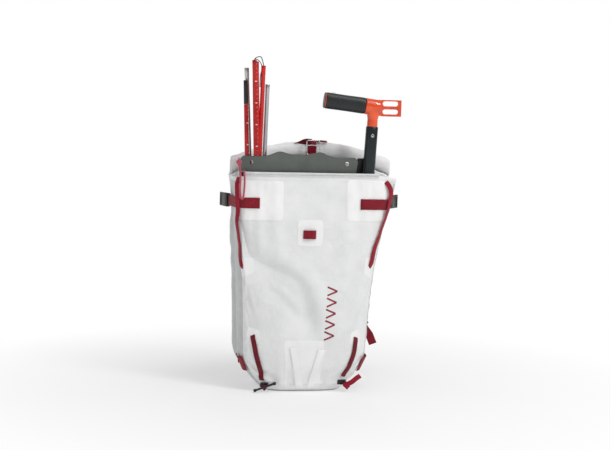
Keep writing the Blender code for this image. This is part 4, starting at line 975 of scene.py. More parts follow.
def makeRoll():
    reach = meanWidth(bag["rim"]) - 0.004
    stations, perTurn = roll["stations"], roll["round"]
    steps = round(roll["turns"] * perTurn)
    rows = []
    for s in range(steps + 1):
        turn = s / perTurn  # 0 is the outer end of the sheet, low at the back
        angle = math.radians(-60) - 2 * math.pi * turn
        shrink = roll["layer"] * turn
        row = []
        for k in range(stations + 1):
            share = 2 * k / stations - 1
            inset = roll["endInset"] * (0.2 + 0.5 * turn + 0.3 * math.sin(turn * 5 + share))
            x = share * (reach - inset)
            middle = rollMiddle(rollX + x)
            plump = 1 - 0.13 * abs(share) ** 6
            slack = 0.0009 * noise.noise(Vector((x * 28, turn * 1.6, 3.0)))
            slack += 0.0006 * noise.noise(Vector((x * 75, turn * 3, 8.0)))
            dent = 0.0016 * bump(x, 0.0, 0.014) * (1 if turn < 1 else 0)
            ry = (roll["ry"] - shrink) * plump + slack - dent
            rz = roll["rz"] - shrink * 0.82 + slack - dent
            power = 2 / 2.6
            row.append(
                middle
                + Vector((
                    0, ry * signedPower(math.cos(angle), power), rz * signedPower(math.sin(angle), power)
                ))
            )
        rows.append(row)
    travel = [0.0]
    for a, b in zip(rows, rows[1:]):
        travel.append(travel[-1] + (b[stations // 2] - a[stations // 2]).length)
    mesh = gridMesh("rollCloth", rows, lambda k, i: (rows[k][i].x, travel[k]))
    # the roll uses the brighter painted-light copy of the white cloth
    cloth = addPiece("rollCloth", mesh, "rollCloth")
    first = cloth.data.polygons[stations // 2]
    if (first.center - rollMiddle(first.center.x)).dot(first.normal) < 0:
        cloth.data.flip_normals()

    def amount(point):
        span = (point.x - rollX) / reach
        pleat = 0.0005 * math.sin(point.z * 520 + 2 * span) * ease((abs(span) - 0.35) / 0.4)
        return crinkle(point, 0.00055, 0.022) + pleat

    moveOut(cloth, amount)
    thicken(cloth, roll["wall"])
    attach(cloth, "closure")
    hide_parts("roll_top")
    return cloth


rollCloth = makeRoll()
print("roll made")

# base panel with a bound edge

base = {"thick": 0.0026, "edge": 0.0011, "points": 132}


def makeBase():
    front, back = bag["frontY"] + bag["frontTuck"] + 0.004, bag["backY"] - bag["backTuck"] - 0.002
    half, middle = halfWidth(0) - 0.0005, (front + back) / 2

    def ring(scale, z):
        found = []
        for k in range(base["points"]):
            angle = 2 * math.pi * k / base["points"]
            x = (half - scale) * signedPower(math.cos(angle), 0.5)
            y = middle + ((back - front) / 2 - scale) * signedPower(math.sin(angle), 0.5)
            found.append(Vector((x, y, z)))
        return found

    edge, thick = base["edge"], base["thick"]
    rows = [ring(0.030, 0.0), ring(0.006, 0.0), ring(edge, 0.0001), ring(0.0002, thick * 0.3)]
    rows += [ring(0.0002, thick * 0.7), ring(edge, thick - 0.0001), ring(0.006, thick), ring(0.030, thick)]
    flat = lambda k, i: (
        rows[k % len(rows)][i % base["points"]].x, rows[k % len(rows)][i % base["points"]].y
    )
    panel = addPiece(
        "basePanel", gridMesh("basePanel", rows, flat, around=True, caps=True), "baseCloth", "pack"
    )
    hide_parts("base_panel")


makeBase()
print("base made")

# thread and teeth: one tree sets small rounded shapes at an even step along lines


def makeRepeatTree():
    tree = bpy.data.node_groups.new("rowOfShapes", "GeometryNodeTree")
    face = tree.interface
    face.new_socket("Lines", in_out="INPUT", socket_type="NodeSocketGeometry")
    for name, kind in (
        ("Step", "Float"), ("Size", "Vector"), ("Unevenness", "Float"), ("Seed", "Int"),
        ("Finish", "Material")
    ):
        face.new_socket(name, in_out="INPUT", socket_type="NodeSocket" + kind)
    face.new_socket("Shapes", in_out="OUTPUT", socket_type="NodeSocketGeometry")
    given = tree.nodes.new("NodeGroupInput").outputs
    curve = addNode(tree, "GeometryNodeMeshToCurve", {"Mesh": given["Lines"]}).outputs[0]
    even = addNode(
        tree, "GeometryNodeResampleCurve", {"Curve": curve, "Length": given["Step"]}, mode="LENGTH"
    ).outputs[0]
    bead = addNode(
        tree, "GeometryNodeMeshUVSphere", {"Segments": 8, "Rings": 5, "Radius": 1.0}
    ).outputs["Mesh"]
    along = addNode(tree, "GeometryNodeInputTangent").outputs[0]
    turn = addNode(tree, "FunctionNodeAlignRotationToVector", {"Vector": along}, axis="X").outputs[0]
    low = addNode(tree, "ShaderNodeMath", {0: 1.0, 1: given["Unevenness"]}, operation="SUBTRACT").outputs[0]
    high = addNode(tree, "ShaderNodeMath", {0: 1.0, 1: given["Unevenness"]}, operation="ADD").outputs[0]
    chance = addNode(tree, "FunctionNodeRandomValue", data_type="FLOAT")
    for wanted, value in (("Min", low), ("Max", high), ("Seed", given["Seed"])):
        tree.links.new(value, [s for s in chance.inputs if s.name == wanted and s.enabled][0])
    share = [s for s in chance.outputs if s.enabled][0]
    size = addNode(tree, "ShaderNodeVectorMath", {0: given["Size"]}, operation="SCALE")
    tree.links.new(share, size.inputs["Scale"])
    wanted = {"Points": even, "Instance": bead, "Rotation": turn, "Scale": size.outputs[0]}
    placed = addNode(tree, "GeometryNodeInstanceOnPoints", wanted).outputs[0]
    real = addNode(tree, "GeometryNodeRealizeInstances", {"Geometry": placed}).outputs[0]
    soft = addNode(tree, "GeometryNodeSetShadeSmooth", {"Geometry": real}).outputs[0]
    coloured = addNode(
        tree, "GeometryNodeSetMaterial", {"Geometry": soft, "Material": given["Finish"]}
    ).outputs[0]
    leaving = tree.nodes.new("NodeGroupOutput")
    tree.links.new(coloured, leaving.inputs[0])
    return tree


repeatTree = makeRepeatTree()


def rowOfShapes(name, lines, step, size, finish, body, unevenness=0.08, seed=3):
    # lines become one mesh of small shapes that rides on one body
    points, edges = [], []
    for line in lines:
        start = len(points)
        points += [tuple(p) for p in line]
        edges += [(start + k, start + k + 1) for k in range(len(line) - 1)]
    mesh = bpy.data.meshes.new(name)
    mesh.from_pydata(points, edges, [])
    made = bpy.data.objects.new(name, mesh)
    scene.collection.objects.link(made)
    rows = made.modifiers.new("row", "NODES")
    rows.node_group = repeatTree
    sockets = {s.name: s.identifier for s in repeatTree.interface.items_tree if s.in_out == "INPUT"}
    given = {"Step": step, "Size": size, "Unevenness": unevenness, "Seed": seed, "Finish": finishes[finish]}
    for key, value in given.items():
        rows[sockets[key]] = value
    graph = bpy.context.evaluated_depsgraph_get()
    shapes = bpy.data.meshes.new_from_object(made.evaluated_get(graph), depsgraph=graph)
    made.modifiers.clear()
    made.data = shapes
    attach(made, body)
    return made


stitchRuns = {}


def stitch(line, finish="redThread", body="pack"):
    stitchRuns.setdefault((finish, body), []).append([Vector(p) for p in line])


def boxStitch(place, long, wide, finish="redThread", body="pack"):
    # a sewn box with a cross in it, on the plane of a frame
    a, b = long / 2, wide / 2
    corners = [Vector(p) for p in ((-a, -b, 0), (a, -b, 0), (a, b, 0), (-a, b, 0))]
    placed = [place @ p for p in corners]
    stitch(placed + placed[:1], finish, body)
    stitch([placed[0], placed[2]], finish, body)
    stitch([placed[1], placed[3]], finish, body)


def barTack(place, wide, finish="redThread", body="pack", rows=3, pitch=0.0009):
    for k in range(rows):
        x = (k - (rows - 1) / 2) * pitch
        stitch([place @ Vector((x, -wide / 2, 0)), place @ Vector((x, wide / 2, 0))], finish, body)


# welded film patches on the pocket's front

patches = {
    "lift": 0.0005,
    "edge": -0.0006,
    "outlines": {  # corners as x and z, then the corner radius
        "patchLeft": (((-0.163, 0.408), (-0.064, 0.408), (-0.064, 0.500), (-0.166, 0.500)), 0.010),
        "patchRight": (((0.0855, 0.408), (0.176, 0.408), (0.182, 0.503), (0.0855, 0.505)), 0.010),
        "patchCentre": (((-0.0285, 0.3485), (0.0310, 0.3485), (0.0310, 0.4100), (-0.0285, 0.4100)), 0.009),
        "patchLow": (((-0.046, 0.0075), (0.036, 0.0075), (0.042, 0.1250), (-0.0545, 0.1250)), 0.008),
        "arrowLeft": (((-0.151, 0.268), (-0.128, 0.285), (-0.130, 0.321), (-0.158, 0.318)), 0.006),
        "arrowRight": (((0.155, 0.268), (0.134, 0.285), (0.136, 0.322), (0.162, 0.318)), 0.006),
        "slitLeft": (((-0.143, 0.112), (-0.113, 0.118), (-0.113, 0.147), (-0.138, 0.156)), 0.006),
        "slitRight": (((0.137, 0.108), (0.108, 0.114), (0.108, 0.142), (0.131, 0.152)), 0.006),
    },
}


def roundedOutline(corners, radius, steps=7):
    found = []
    corners = [Vector((*c, 0)) for c in corners]
    for k, corner in enumerate(corners):
        before, after = corners[k - 1], corners[(k + 1) % len(corners)]
        start = corner + (before - corner).normalized() * radius
        end = corner + (after - corner).normalized() * radius
        for n in range(steps):
            t = n / (steps - 1)
            found.append(start * (1 - t) ** 2 + corner * 2 * t * (1 - t) + end * t**2)
    return evenly([*found, found[0]], 0.0022)[:-1]


def makePatch(name, corners, radius):
    outline = roundedOutline(corners, radius)
    middle = sum(outline, Vector()) / len(outline)
    rows, flats = [], []
    lifts = {1.0: patches["edge"], 0.996: patches["lift"] * 0.7}
    for share in (1.0, 0.996, 0.975, 0.93, 0.85, 0.72, 0.58, 0.44, 0.30, 0.16, 0.05):
        row = [middle.lerp(p, share) for p in outline]
        flats.append(row)
        rows.append([onCloth(qAt(p.x, p.y), p.y, lifts.get(share, patches["lift"])) for p in row])
    count = len(outline)
    mesh = gridMesh(
        name, rows, lambda k, i: (flats[k][i % count].x, flats[k][i % count].y), around=True,
        centre=bagCentre
    )
    shape = bmesh.new()
    shape.from_mesh(mesh)
    shape.verts.ensure_lookup_table()
    last = [shape.verts[(len(rows) - 1) * count + i] for i in range(count)]
    bmesh.ops.contextual_create(shape, geom=last)
    shape.normal_update()
    shape.to_mesh(mesh)
    shape.free()
    piece = addPiece(name, mesh, "weldFilm", "pack")
    return piece


for patchName, (patchCorners, patchRadius) in patches["outlines"].items():
    makePatch(patchName, patchCorners, patchRadius)
print("patches made")

# two raised strips on the low patch, in a narrow V

strips = {
    "left": ((-0.0315, 0.108), (-0.0120, 0.010)),
    "right": ((0.0360, 0.104), (0.0132, 0.010)),
    "width": 0.0190,
    "rise": 0.0034,
}


def makeStrips():
    for name in ("left", "right"):
        (topX, topZ), (lowX, lowZ) = strips[name]
        half = strips["width"] / 2
        rows, flats = [], []
        count = 46
        for k in range(count + 1):
            x, z = mix(topX, lowX, k / count), mix(topZ, lowZ, k / count)
            end = min(1.0, (k + 0.6) / 1.2, (count - k + 0.6) / 1.2)
            row, flat = [], []
            for at, lift in (
                (-1.04, -0.3), (-1.0, 0.75), (-0.93, 1.0), (-0.5, 0.92), (0.0, 0.84), (0.5, 0.62),
                (0.93, 0.42), (1.0, 0.3), (1.04, -0.3)
            ):
                side = x + at * half
                row.append(onCloth(qAt(side, z), z, strips["rise"] * lift * end))
                flat.append((side, z))
            rows.append(row)
            flats.append(flat)
        mesh = gridMesh("strip_" + name, rows, lambda k, i: flats[k][i], centre=bagCentre)
        piece = addPiece("strip_" + name, mesh, "weldFilm", "pack")
        for at in (-0.82, 0.86):
            line = []
            for k in range(2, count - 1):
                x, z = mix(topX, lowX, k / count), mix(topZ, lowZ, k / count)
                line.append(onCloth(
                    qAt(x + at * half, z), z, strips["rise"] * (1.0 if at < 0 else 0.46) + 0.0001
                ))
            stitch(line, "whiteThread")


makeStrips()

# woven straps

straps = {
    "thick": 0.0016,
    "lift": 0.0014,
    "wide": 0.025,
    "mid": 0.020,
    "tape": 0.011,
    "axe": 0.012,
    "step": 0.0022,  # between stations
}


def softened(points, passes=3):
    points = [p.copy() for p in points]
    for _ in range(passes):
        points = [points[0]] + [
            (a + b * 2 + c) / 4
            for a, b, c in zip(points, points[1:], points[2:])
        ] + [points[-1]]
    return points


def strap(
    name, points, normals, width, finish, body="pack", nodes=(), thickness=None,
    widths=None
):
    thickness = thickness or straps["thick"]
    piece = addPiece(name, ribbonMesh(name, points, normals, width, thickness, widths), finish, body)
    if nodes:
        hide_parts(*nodes)
    return piece


def clothLine(route, count, lift):
    flat = smoothPath([(q, z, 0.0) for q, z in route], count)
    lifts = lift if callable(lift) else lambda t: lift
    points = [onCloth(p.x, p.y, lifts(k / (count - 1))) for k, p in enumerate(flat)]
    return softened(points, 4), [skinNormal(p.x, p.y) for p in flat]


lashTapes = {
    "left": (
        (0.012, 0.009), (0.053, 0.008), (0.089, 0.008), (0.120, 0.008), (0.161, 0.011), (0.197, 0.010),
        (0.226, 0.014)
    ),
    "right": (
        (0.017, 0.030), (0.041, 0.015), (0.065, 0.014), (0.101, 0.015), (0.137, 0.018), (0.173, 0.024),
        (0.226, 0.024)
    ),
    "lift": 0.0066,
    "twist": 16.0,  # degrees that each tape turns along its free length
}


def makeLashTape(name, side):
    line = [(bag["mouth"] - drop, inset) for drop, inset in lashTapes[name]]
    route = [(qAt(side * (halfWidth(z, side) - inset), z), z) for z, inset in line]

    def lift(t):
        sewn = ease(t / 0.06) * ease((1 - t) / 0.05)
        return mix(0.0002, lashTapes["lift"], sewn) - 0.0020 * ease((t - 0.45) / 0.2)

    points, normals = clothLine(route, 110, lift)
    turned = []
    for k, (normal, along) in enumerate(zip(normals, tangents(points))):
        phase = k / 109 * math.pi * 2.2 + (0.6 if side > 0 else 0.0)
        angle = math.radians(lashTapes["twist"]) * math.sin(phase) * side
        turned.append(Quaternion(along, angle) @ normal)
    strap("lashTape_" + name, points, turned, straps["tape"], "redTape", nodes=["lash_tape_" + name])
    for at in (3, 106):
        barTack(frameAt(points[at] + turned[at] * 0.0011, tangents(points)[at], turned[at]), 0.008)


axeStraps = {
    "left": ((0.137, 0.026), (0.100, 0.033), (0.060, 0.0335), (0.030, 0.024)),
    "right": ((0.132, 0.034), (0.100, 0.036), (0.070, 0.038), (0.036, 0.034)),
}


def makeAxeStrap(name, side):
    route = [(qAt(side * (halfWidth(z, side) - inset), z), z) for z, inset in axeStraps[name]]
    points, normals = clothLine(route, 60, lambda t: mix(-0.0004, 0.0022, ease(t / 0.07)))
    strap("axeStrap_" + name, points, normals, straps["axe"], "darkTape", nodes=["axe_strap_" + name])
    along = tangents(points)
    barTack(frameAt(points[5] + normals[5] * 0.0011, along[5], normals[5]), 0.009)
    # the strap's free end comes out under its slider
    low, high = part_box("axe_slider_" + name)
    middle = (low + high) / 2
    if side < 0:
        tail = [
            middle + Vector(p)
            for p in (
                (0.0, 0.0035, 0.004), (0.001, -0.0060, -0.002), (-0.001, -0.0085, -0.006),
                (-0.004, -0.0070, -0.0095)
            )
        ]
        strap("axeTail_left", smoothPath(tail, 16), [(0, -1, 0.4)] * 16, 0.0105, "darkTape")
        return
    tail = [
        middle + Vector(p)
        for p in (
            (0.004, 0.0040, 0.002), (0.010, -0.0060, -0.004), (0.022, -0.0090, 0.001),
            (0.034, -0.0080, 0.010), (0.044, -0.0050, 0.016)
        )
    ]
    strap("axeTail_right", smoothPath(tail, 40), [(-0.25, -1, 0.35)] * 40, 0.0115, "redTape")
    tip = [
        middle + Vector(p)
        for p in ((0.006, -0.004, -0.004), (0.012, -0.009, -0.009), (0.016, -0.008, -0.0125))
    ]
    strap("axeTip_right", smoothPath(tip, 14), [(-0.2, -1, 0.2)] * 14, 0.0110, "redTape")


def sideBuckleFrame(side):
    swing, z = math.radians(16 if side < 0 else 38), bag["mouth"] - 0.071
    along = Vector((side * math.sin(swing), math.cos(swing), 0))
    normal = Vector((side * math.cos(swing), -math.sin(swing), 0))
    start = Vector((side * (halfWidth(z, side) + 0.0100), bag["seamY"] - 0.010, z))
    return frameAt(start + along * 0.014, along, normal)


def makeCompression(name, side):
    z = bag["mouth"] - 0.071
    place = sideBuckleFrame(side)
    start = qAt(side * 0.119, z)
    flat = smoothPath([(start, z, 0.0), (side * 0.78, z, 0.0), (side * 0.90, z, 0.0)], 40)
    lift = straps["lift"] + straps["thick"] / 2
    points = softened([onCloth(p.x, p.y, lift) for p in flat], 3)
    normals = [skinNormal(p.x, p.y) for p in flat]
    nose = place @ Vector((-0.0145, 0, 0))
    last = points[-1]
    points += [last.lerp(nose, t) for t in (0.25, 0.5, 0.75, 1.0)]
    normals += [normals[-1].lerp(place.to_3x3() @ Vector((0, 0, 1)), t) for t in (0.3, 0.6, 0.9, 1.0)]
    strap(
        "compressionStrap_" + name, points, normals, straps["wide"], "redWebbing",
        nodes=["compression_strap_" + name]
    )
    along = tangents(points)
    spot = frameAt(points[3] + normals[3] * 0.0011, along[3], normals[3])
    boxStitch(spot @ Matrix.Translation((0.003, 0, 0)), 0.009, 0.020)
    under = -0.00475 - 0.0012 - straps["thick"] / 2
    line = [
        place @ Vector((0.018, 0, under)),
        place @ Vector((0.034, 0, under)),
        place @ Vector((0.050, 0, under - 0.001)),
        Vector((
            side * (halfWidth(z, side) + 0.014), (place.translation.y + bag["backY"]) / 2 + 0.030, z - 0.002
        )),
        Vector((side * (halfWidth(z, side) - bag["mainInset"] + 0.001), bag["backY"] + 0.003, z - 0.004)),
        Vector((side * (halfWidth(z, side) - bag["mainInset"] - 0.013), bag["backY"] + 0.0015, z - 0.004)),
    ]
    points = smoothPath(line, 56)
    normals = [Vector((side, 0.25 * max(0.0, k / 3.5 - 11) ** 2, 0)) for k in range(56)]
    strap(
        "compressionAnchor_" + name, points, normals, straps["wide"], "redWebbing",
        nodes=["compression_anchor_" + name]
    )


skiLoops = {
    "z": 0.066, "width": 0.038, "rise": 0.0026, "inset": {-1.0: 0.0065, 1.0: 0.014},
    "end": {-1.0: 0.985, 1.0: 1.03}
}


def makeSkiLoop(name, side):
    z = skiLoops["z"]
    start = qAt(side * (halfWidth(z, side) - skiLoops["inset"][side]), z)
    end = side * skiLoops["end"][side]
    points, normals = [], []
    for k in range(61):
        share = k / 60
        q = mix(start, end, share)
        lift = straps["lift"] + straps["thick"] / 2 + skiLoops["rise"] * math.sin(math.pi * share) ** 0.7
        points.append(onCloth(q, z, lift) if abs(q) < 0.97 else skin(q, z, lift))
        normals.append(skinNormal(q, z))
    points = softened(points, 5)
    strap("skiLoop_" + name, points, normals, skiLoops["width"], "redWebbing", nodes=["ski_loop_" + name])
    along = tangents(points)
    for at in (3, 57):
        spot = frameAt(points[at] + normals[at] * 0.0011, along[at], normals[at])
        boxStitch(spot, 0.007, 0.034)


def makeCentreLoop():
    z, half, rise = bag["mouth"] - 0.143, 0.0145, 0.0042
    points, normals = [], []
    for k in range(33):
        x = half * (2 * k / 32 - 1)
        lift = straps["lift"] + straps["thick"] / 2 + rise * (1 - (x / half) ** 4)
        points.append(onCloth(qAt(x, z), z, lift))
        normals.append(skinNormal(qAt(x, z), z))
    points = softened(points, 2)
    strap("centreLoop", points, normals, straps["mid"], "redWebbing", nodes=["centre_loop"])
    along = tangents(points)
    for at in (2, 30):
        barTack(frameAt(points[at] + normals[at] * 0.0011, along[at], normals[at]), 0.017)


for sideName, sideSign in (("left", -1.0), ("right", 1.0)):
    makeLashTape(sideName, sideSign)
    makeAxeStrap(sideName, sideSign)
    makeCompression(sideName, sideSign)
    makeSkiLoop(sideName, sideSign)
makeCentreLoop()
print("front straps made")

# strap and wire buckle over the roll

closure = {
    "barY": bag["midY"] - bag["rimHalfDepth"] - 0.0135, "barZ": bag["rim"] + 0.010, "wire": 0.0014,
    "inner": 0.029, "height": 0.034
}


def makeClosureStrap():
    middle = rollMiddle(rollX)
    ry, rz = 0.0185 + 0.0022, 0.0205 + 0.0022
    line = [Vector((rollX, middle.y - ry - 0.0004, middle.z - 0.012))]
    for k in range(25):
        angle = math.pi * k / 24
        out = (signedPower(math.cos(angle), 2 / 2.6), signedPower(math.sin(angle), 2 / 2.6))
        line.append(Vector((rollX, middle.y - ry * out[0], middle.z + rz * out[1])))
    line.append(Vector((rollX, middle.y + ry + 0.0004, middle.z - 0.014)))
    line = softened(evenly(line, 0.0022), 2)
    normals = [Vector((0, p.y - middle.y, max(p.z - middle.z, 0.0))) for p in line]
    strap("rollStrap", line, normals, straps["mid"], "redWebbing", "closure", ["roll_strap"])
    boxStitch(
        frameAt(line[-4] + Vector((0, 0.0011, 0)), (0, 0, -1), (0, 1, 0)), 0.010, 0.016, body="closure"
    )
    # the free end lies over the roll, twisted to a point on the left
    left = [
        middle + Vector(p)
        for p in (
            (-0.002, -0.020, 0.0185), (-0.016, -0.0195, 0.0195), (-0.030, -0.0185, 0.0175),
            (-0.044, -0.0175, 0.0145)
        )
    ]
    line = smoothPath(left, 36)
    widths = [mix(0.0155, 0.0012, ease((k - 9) / 26)) for k in range(36)]
    tilt = [Quaternion((1, 0, 0), math.radians(mix(8, 46, k / 35))) @ Vector((0, -1, 0)) for k in range(36)]
    strap("rollTailLeft", line, tilt, 0, "darkTape", "closure", widths=widths, thickness=0.0013)
    right = [
        middle + Vector(p)
        for p in (
            (0.010, -0.0165, 0.0195), (0.019, -0.0170, 0.0210), (0.029, -0.0172, 0.0205),
            (0.036, -0.0170, 0.0200)
        )
    ]
    strap(
        "rollTailRight", smoothPath(right, 20), [(0, -0.5, 1)] * 20, 0.0085, "darkTape", "closure",
        thickness=0.0013
    )


def makeWireBuckle():
    wire, height = closure["wire"], closure["height"]
    half, corner = closure["inner"] / 2 + wire, 0.004
    centres = [(half - corner, corner), (half - corner, height - corner)]
    centres += [(-x, y) for x, y in centres[::-1]]
    outline = []
    for quarter, (x, y) in enumerate(centres):
        for k in range(9):
            angle = math.pi / 2 * (quarter - 1 + k / 8)
            outline.append(Vector((x + corner * math.cos(angle), y + corner * math.sin(angle), 0)))
    place = frameAt((rollX, closure["barY"], closure["barZ"]), (1, 0, 0), (0, -1, 0))
    frameWire = [place @ p for p in outline]
    ring = tubeMesh("wireBuckle", frameWire, wire, 18, closed=True)
    y = height * 0.66
    bar = [
        place @ Vector((half * (2 * k / 12 - 1), y, 0.0004 * math.sin(math.pi * k / 12)))
        for k in range(13)
    ]
    buckle = joined("wireBuckle", [ring, tubeMesh("bar", bar, wire * 0.93, 16)], "steelWire", "wire_buckle")
    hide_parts("wire_buckle")
    inner, leg, thick = wire + 0.0011, 0.028, straps["thick"]
    reach = inner + thick / 2
    y, z = closure["barY"], closure["barZ"]
    line = [Vector((rollX, y - reach, z - leg))]
    for k in range(17):
        angle = math.pi - math.pi * k / 16
        line.append(Vector((rollX, y + reach * math.cos(angle), z + reach * math.sin(angle))))
    line.append(Vector((rollX, y + reach, z - leg)))
    line = evenly(line, 0.0014)
    normals = [Vector((1, 0, 0)).cross(t) for t in tangents(line)]
    strap("hookLoop", line, normals, 0.022, "redWebbing", nodes=["hook_loop"])
    boxStitch(frameAt((rollX, y - reach - 0.0011, z - 0.017), (0, 0, 1), (0, -1, 0)), 0.012, 0.018)


makeClosureStrap()
makeWireBuckle()
print("roll closure made")

# pieces finished from their CAD solids


def solidCopy(name, nodes, finish, body, bevel=0.0006, voxel=0.0, smoothing=8, angle=32):
    # the solids' own mesh, merged, with its edges rounded or remeshed soft
    shape = bmesh.new()
    for node in nodes:
        shape.from_mesh(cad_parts[node].data)
    bmesh.ops.remove_doubles(shape, verts=shape.verts, dist=2e-5)
    flatEdges = [e for e in shape.edges if len(e.link_faces) == 2 and e.calc_face_angle() < 0.02]
    bmesh.ops.dissolve_edges(shape, edges=flatEdges, use_verts=False)
    mesh = bpy.data.meshes.new(name)
    shape.to_mesh(mesh)
    shape.free()
    piece = addPiece(name, mesh, finish, None)
    if voxel:
        step = piece.modifiers.new("grain", "REMESH")
        step.mode, step.voxel_size, step.use_smooth_shade = "VOXEL", voxel, True
        step = piece.modifiers.new("soften", "SMOOTH")
        step.factor, step.iterations = 0.5, smoothing
    else:
        step = piece.modifiers.new("edges", "BEVEL")
        step.width, step.segments, step.limit_method = bevel, 3, "ANGLE"
        step.angle_limit = math.radians(angle)
        step.harden_normals = False
    bake(piece)
    if not piece.data.materials:
        piece.data.materials.append(finishes[finish])
    if not voxel:
        piece.data.set_sharp_from_angle(angle=math.radians(40))
    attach(piece, body)
    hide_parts(*nodes)
    return piece


def cutThrough(piece, cutters):
    # cutters are meshes taken away from the piece
    for k, mesh in enumerate(cutters):
        tool = bpy.data.objects.new(f"cutter{k}", mesh)
        scene.collection.objects.link(tool)
        step = piece.modifiers.new("cut", "BOOLEAN")
        step.object, step.operation, step.solver = tool, "DIFFERENCE", "EXACT"
        bake(piece)
        bpy.data.objects.remove(tool)


def rodMesh(a, b, radius, sides=32):
    a, b = Vector(a), Vector(b)
    return tubeMesh("rod", [a, a.lerp(b, 0.5), b], radius, sides)


# shovel blade

blade = {
    "x": -0.02485,
    "half": 0.13985,
    "front": -0.0909,
    "shoulder": 0.5560,
    "height": 0.300,
    "narrowing": 0.036,
    "dish": 0.0065,
    "thick": 0.0018,
    "hump": 0.011,
    "hole": 0.0052,
    "holeInset": 0.027,
    "holeDrop": 0.015,
    "rib": 0.0011,
}


def bladeTop(share):
    hump = sum(math.exp(-(((share - at) / 0.155) ** 2)) for at in (-0.34, 0.34))
    middle = 0.52 * math.exp(-((share / 0.2) ** 2))
    corner = -0.9 * max(0.0, abs(share) - 0.93) ** 2 / 0.07**2
    return blade["hump"] * (hump + middle + corner)


def bladePoint(share, height):
    across = share * (blade["half"] - blade["narrowing"] * (1 - height))
    low = blade["shoulder"] - blade["height"] + 0.030 * max(0.0, abs(share) - 0.55) ** 2 / 0.2
    high = blade["shoulder"] + bladeTop(share)
    back = blade["dish"] * (across / blade["half"]) ** 2
    # pressed ribs, and a bent wing at each side
    for at in (-0.42, 0.0, 0.42):
        ends = ease((height - 0.22) / 0.1) * ease((0.78 - height) / 0.1)
        back -= blade["rib"] * math.exp(-(((share - at) / 0.045) ** 2)) * ends
    back += 0.0006 * ease((abs(share) - 0.80) / 0.05) + 0.13 * max(0.0, abs(share) - 0.84) * blade["half"]
    return Vector((blade["x"] + across, blade["front"] + back, low + (high - low) * height))


def makeBlade():
    across, up = 180, 90
    rows, flats = [], []
    for k in range(up + 1):
        height = k / up
        row = [bladePoint(2 * i / across - 1, height) for i in range(across + 1)]
        rows.append(row)
        flats.append([(p.x, p.z) for p in row])
    mesh = gridMesh("shovelBlade", rows, lambda k, i: flats[k][i], centre=(blade["x"], 0.0, 0.42))
    piece = addPiece("shovelBlade", mesh, "bladeAlloy")
    thicken(piece, blade["thick"], -1.0)
    holes = []
    z = blade["shoulder"] - blade["holeDrop"]
    for side in (-1, 1):
        x = blade["x"] + side * (blade["half"] - blade["holeInset"])
        holes.append(rodMesh((x, -0.12, z), (x, -0.05, z), blade["hole"] - (0.0008 if side < 0 else 0.0)))
    for x in (-0.35, 0.35):
        spot = blade["x"] + x * blade["half"] * 0.5
        holes.append(rodMesh((spot, -0.12, 0.300), (spot, -0.05, 0.300), 0.0040))
    cutThrough(piece, holes)
    step = piece.modifiers.new("edges", "BEVEL")
    step.width, step.segments, step.limit_method, step.angle_limit = 0.0004, 2, "ANGLE", math.radians(50)
    bake(piece)
    # the socket behind it, with a bolt on each side
    x, y, low, high = blade["x"], blade["front"] + 0.0118, 0.211, 0.316
    outer, inner = 0.0164, 0.0146
    rings = []
    for z, a in (
        (low, outer - 0.0006), (low + 0.001, outer), (high - 0.001, outer), (high, outer - 0.0006),
        (high, inner + 0.0004), (high - 0.001, inner), (low + 0.001, inner), (low, inner + 0.0004)
    ):
        ring = []
        for i in range(56):
            t = 2 * math.pi * i / 56
            depth = a - 0.0052
            ring.append(
                Vector((
                    x + a * signedPower(math.cos(t), 0.86), y + depth * signedPower(math.sin(t), 0.86), z
                ))
            )
        rings.append(ring)
    socket = gridMesh("socket", rings, lambda k, i: (i / 56, k / 8), around=True, loop=True)
    bolts = [
        rodMesh((x + s * (outer - 0.001), y, z), (x + s * (outer + 0.0022), y, z), 0.0034, 24)
        for s in (-1, 1)
        for z in (0.240, 0.290)
    ]
    socketPiece = joined("bladeSocket", [socket, *bolts], "bladeAlloy", "blade")
    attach(piece, "blade")
    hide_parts("shovel_blade")
    for made in (piece, socketPiece):
        made.data.set_sharp_from_angle(angle=math.radians(35))


makeBlade()
print("blade made")

# shovel handle

handle = {
    "rx": 0.0142,
    "ry": 0.0130,
    "length": 0.375,
    "lean": math.radians(2.6),
    "gripTilt": math.radians(6.5),
    "gripStart": 0.0205,
    "gripLength": 0.094,
    "gripR": 0.0192,
    "gripDepth": 0.0145,
}


def shaftFrame():
    # its top's middle is found from the solid: the highest ring of the tube
    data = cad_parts["shovel_shaft"].data.vertices
    top = max(v.co.z for v in data)
    ring = [v.co for v in data if v.co.z > top - 0.0032]
    low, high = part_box("shovel_shaft")
    x = sum(p.x for p in ring) / len(ring)
    z = sum(p.z for p in ring) / len(ring)
    middle = Vector((x, (low.y + high.y) / 2, z))
    return Matrix.Translation(middle) @ Matrix.Rotation(handle["lean"], 4, "Y")


def ovalRing(place, z, rx, ry, power=2.3, count=48):
    found = []
    for i in range(count):
        t = 2 * math.pi * i / count
        found.append(
            place @ Vector((
                rx * signedPower(math.cos(t), 2 / power), ry * signedPower(math.sin(t), 2 / power), z
            ))
        )
    return found


